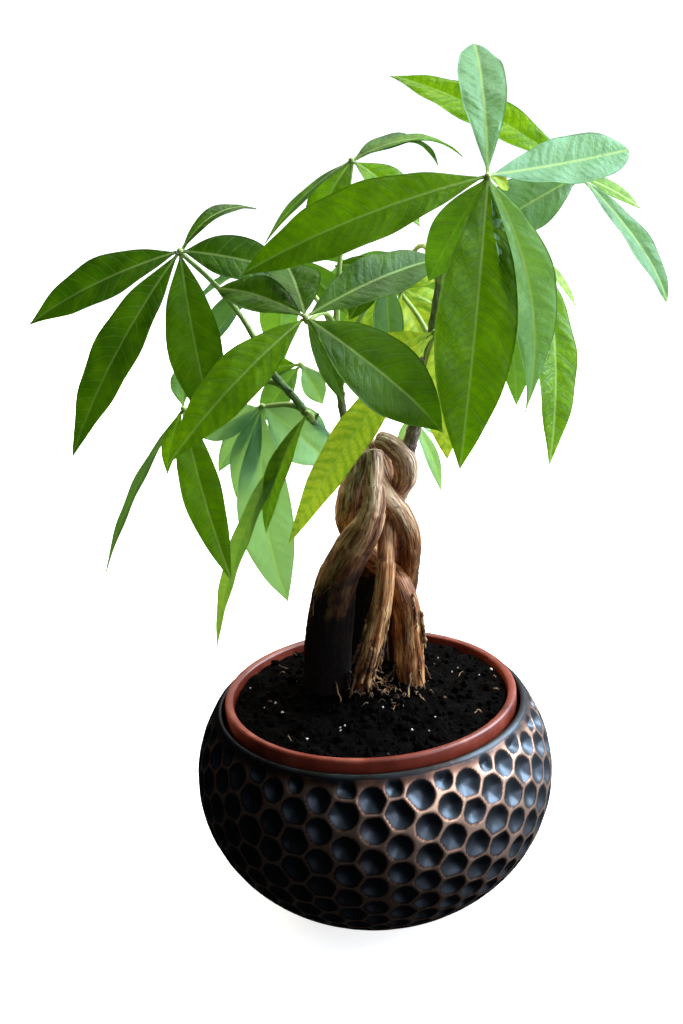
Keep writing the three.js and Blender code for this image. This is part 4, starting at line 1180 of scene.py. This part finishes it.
def build_leaf(name, finishes, hub, shoot, start, face, blades, tones, lift=PETIOLE["lift"]):
    """One compound leaf: its stalk, the knob where the leaflets meet, and the leaflets."""
    hub = np.array(hub, float)
    axes = leaf_frame(face)
    curve = grown_curve(SHOOTS[shoot][1], 81)[:, :3]
    foot = curve[np.abs(curve[:, 2] - start).argmin()]
    parts = [leaf_stalk(foot, hub, axes[2], lift)]
    points, faces = lump_shape(2)
    parts.append(shell(points * PETIOLE["knob"] * (1, 1, 0.8) + hub, faces, 1, grain=points * 2))
    tones = tones + tones[-1:] * (len(blades) - len(tones))
    parts += [blade(hub, axes, tone, *spec) for spec, tone in zip(blades, tones)]
    make_piece(name + "_leaflets", parts, finishes, name)


# ---- the studio ----

def build_floor(paper):
    """A pale round floor that sweeps up into a wall on all sides, so that every view has one backdrop."""
    flat, sweep, sides = (BACKDROP[key] for key in ("flat", "sweep", "sides"))
    curve = [(BACKDROP["inner"], 0.0), (flat, 0.0)]
    for t in np.linspace(0.1, math.pi / 2, 14):
        curve.append((flat + sweep * math.sin(t), sweep - sweep * math.cos(t)))
    curve.append((flat + sweep, BACKDROP["wall"]))
    rings = [ring(radius, z, around(sides)) for radius, z in curve]
    points = np.vstack([(0, 0, 0)] + rings) - (0, 0, BACKDROP["below"])
    faces = [face[::-1] for face in grid_faces(len(curve), sides, closed=True, start=1)]
    faces += [[0, 1 + i, 1 + (i + 1) % sides] for i in range(sides)]
    mesh = bpy.data.meshes.new("studio_floor")
    mesh.from_pydata(points.tolist(), [], faces)
    mesh.materials.append(paper)
    mesh.polygons.foreach_set("use_smooth", [True] * len(faces))
    floor = bpy.data.objects.new("studio_floor", mesh)
    floor.visible_diffuse = False
    floor.visible_glossy = False
    floor.visible_shadow = False
    bpy.context.scene.collection.objects.link(floor)


def add_window(name, place, aim, size, power, code, mirrored=True):
    """A soft rectangular lamp, which glossy surfaces mirror unless they are told not to."""
    light = bpy.data.lights.new(name, "AREA")
    light.shape = "RECTANGLE"
    light.size, light.size_y = size
    light.energy = power
    light.color = linear(code)[:3]
    lamp = bpy.data.objects.new(name, light)
    lamp.location = place
    lamp.rotation_euler = (Vector(aim) - Vector(place)).to_track_quat("-Z", "Y").to_euler()
    lamp.visible_camera = False
    lamp.visible_glossy = mirrored
    bpy.context.scene.collection.objects.link(lamp)


def light_studio():
    """A bright window high on the right and behind, in a room that is dim on the left and below."""
    scene = bpy.context.scene
    scene.view_settings.view_transform = "Standard"
    world = bpy.data.worlds.new("dim_room")
    world.use_nodes = True
    tree = world.node_tree
    towards = add(tree, "ShaderNodeTexCoord").outputs["Generated"]
    facing = add(tree, "ShaderNodeVectorMath", {0: towards, 1: ROOM["side"]}, operation="DOT_PRODUCT")
    bright = add(tree, "ShaderNodeMapRange", {
        "Value": facing.outputs["Value"], "From Min": 0.0, "From Max": 0.95,
        "To Min": ROOM["weakest"], "To Max": ROOM["strongest"]})
    tree.links.new(bright.outputs["Result"], tree.nodes["Background"].inputs["Strength"])
    tree.nodes["Background"].inputs["Color"].default_value = linear(ROOM["code"])
    scene.world = world
    for name, lamp in LAMPS.items():
        add_window(name, **lamp)


# ---- the object ----

def build_plant():
    """Every piece of the plant and its pots, in the order of their random draws."""
    peat = damp_peat()
    fibre = dry_fibre()
    build_bowl(hammered_antique_copper())
    build_nursery_pot(moulded_polypropylene())
    build_soil(peat)
    build_crumbs(peat, perlite())
    build_soil_fibres(fibre)
    build_stems(money_tree_bark(), callused_wood())
    build_shoots(young_bark())
    build_peeling_bark(fibre)
    build_surface_roots(fibre)
    finishes = [leaf_blade(), green_stalk()]
    for name, parts in LEAVES.items():
        build_leaf(name, finishes, **parts)


set_camera()
build_plant()
build_floor(studio_paper())
light_studio()
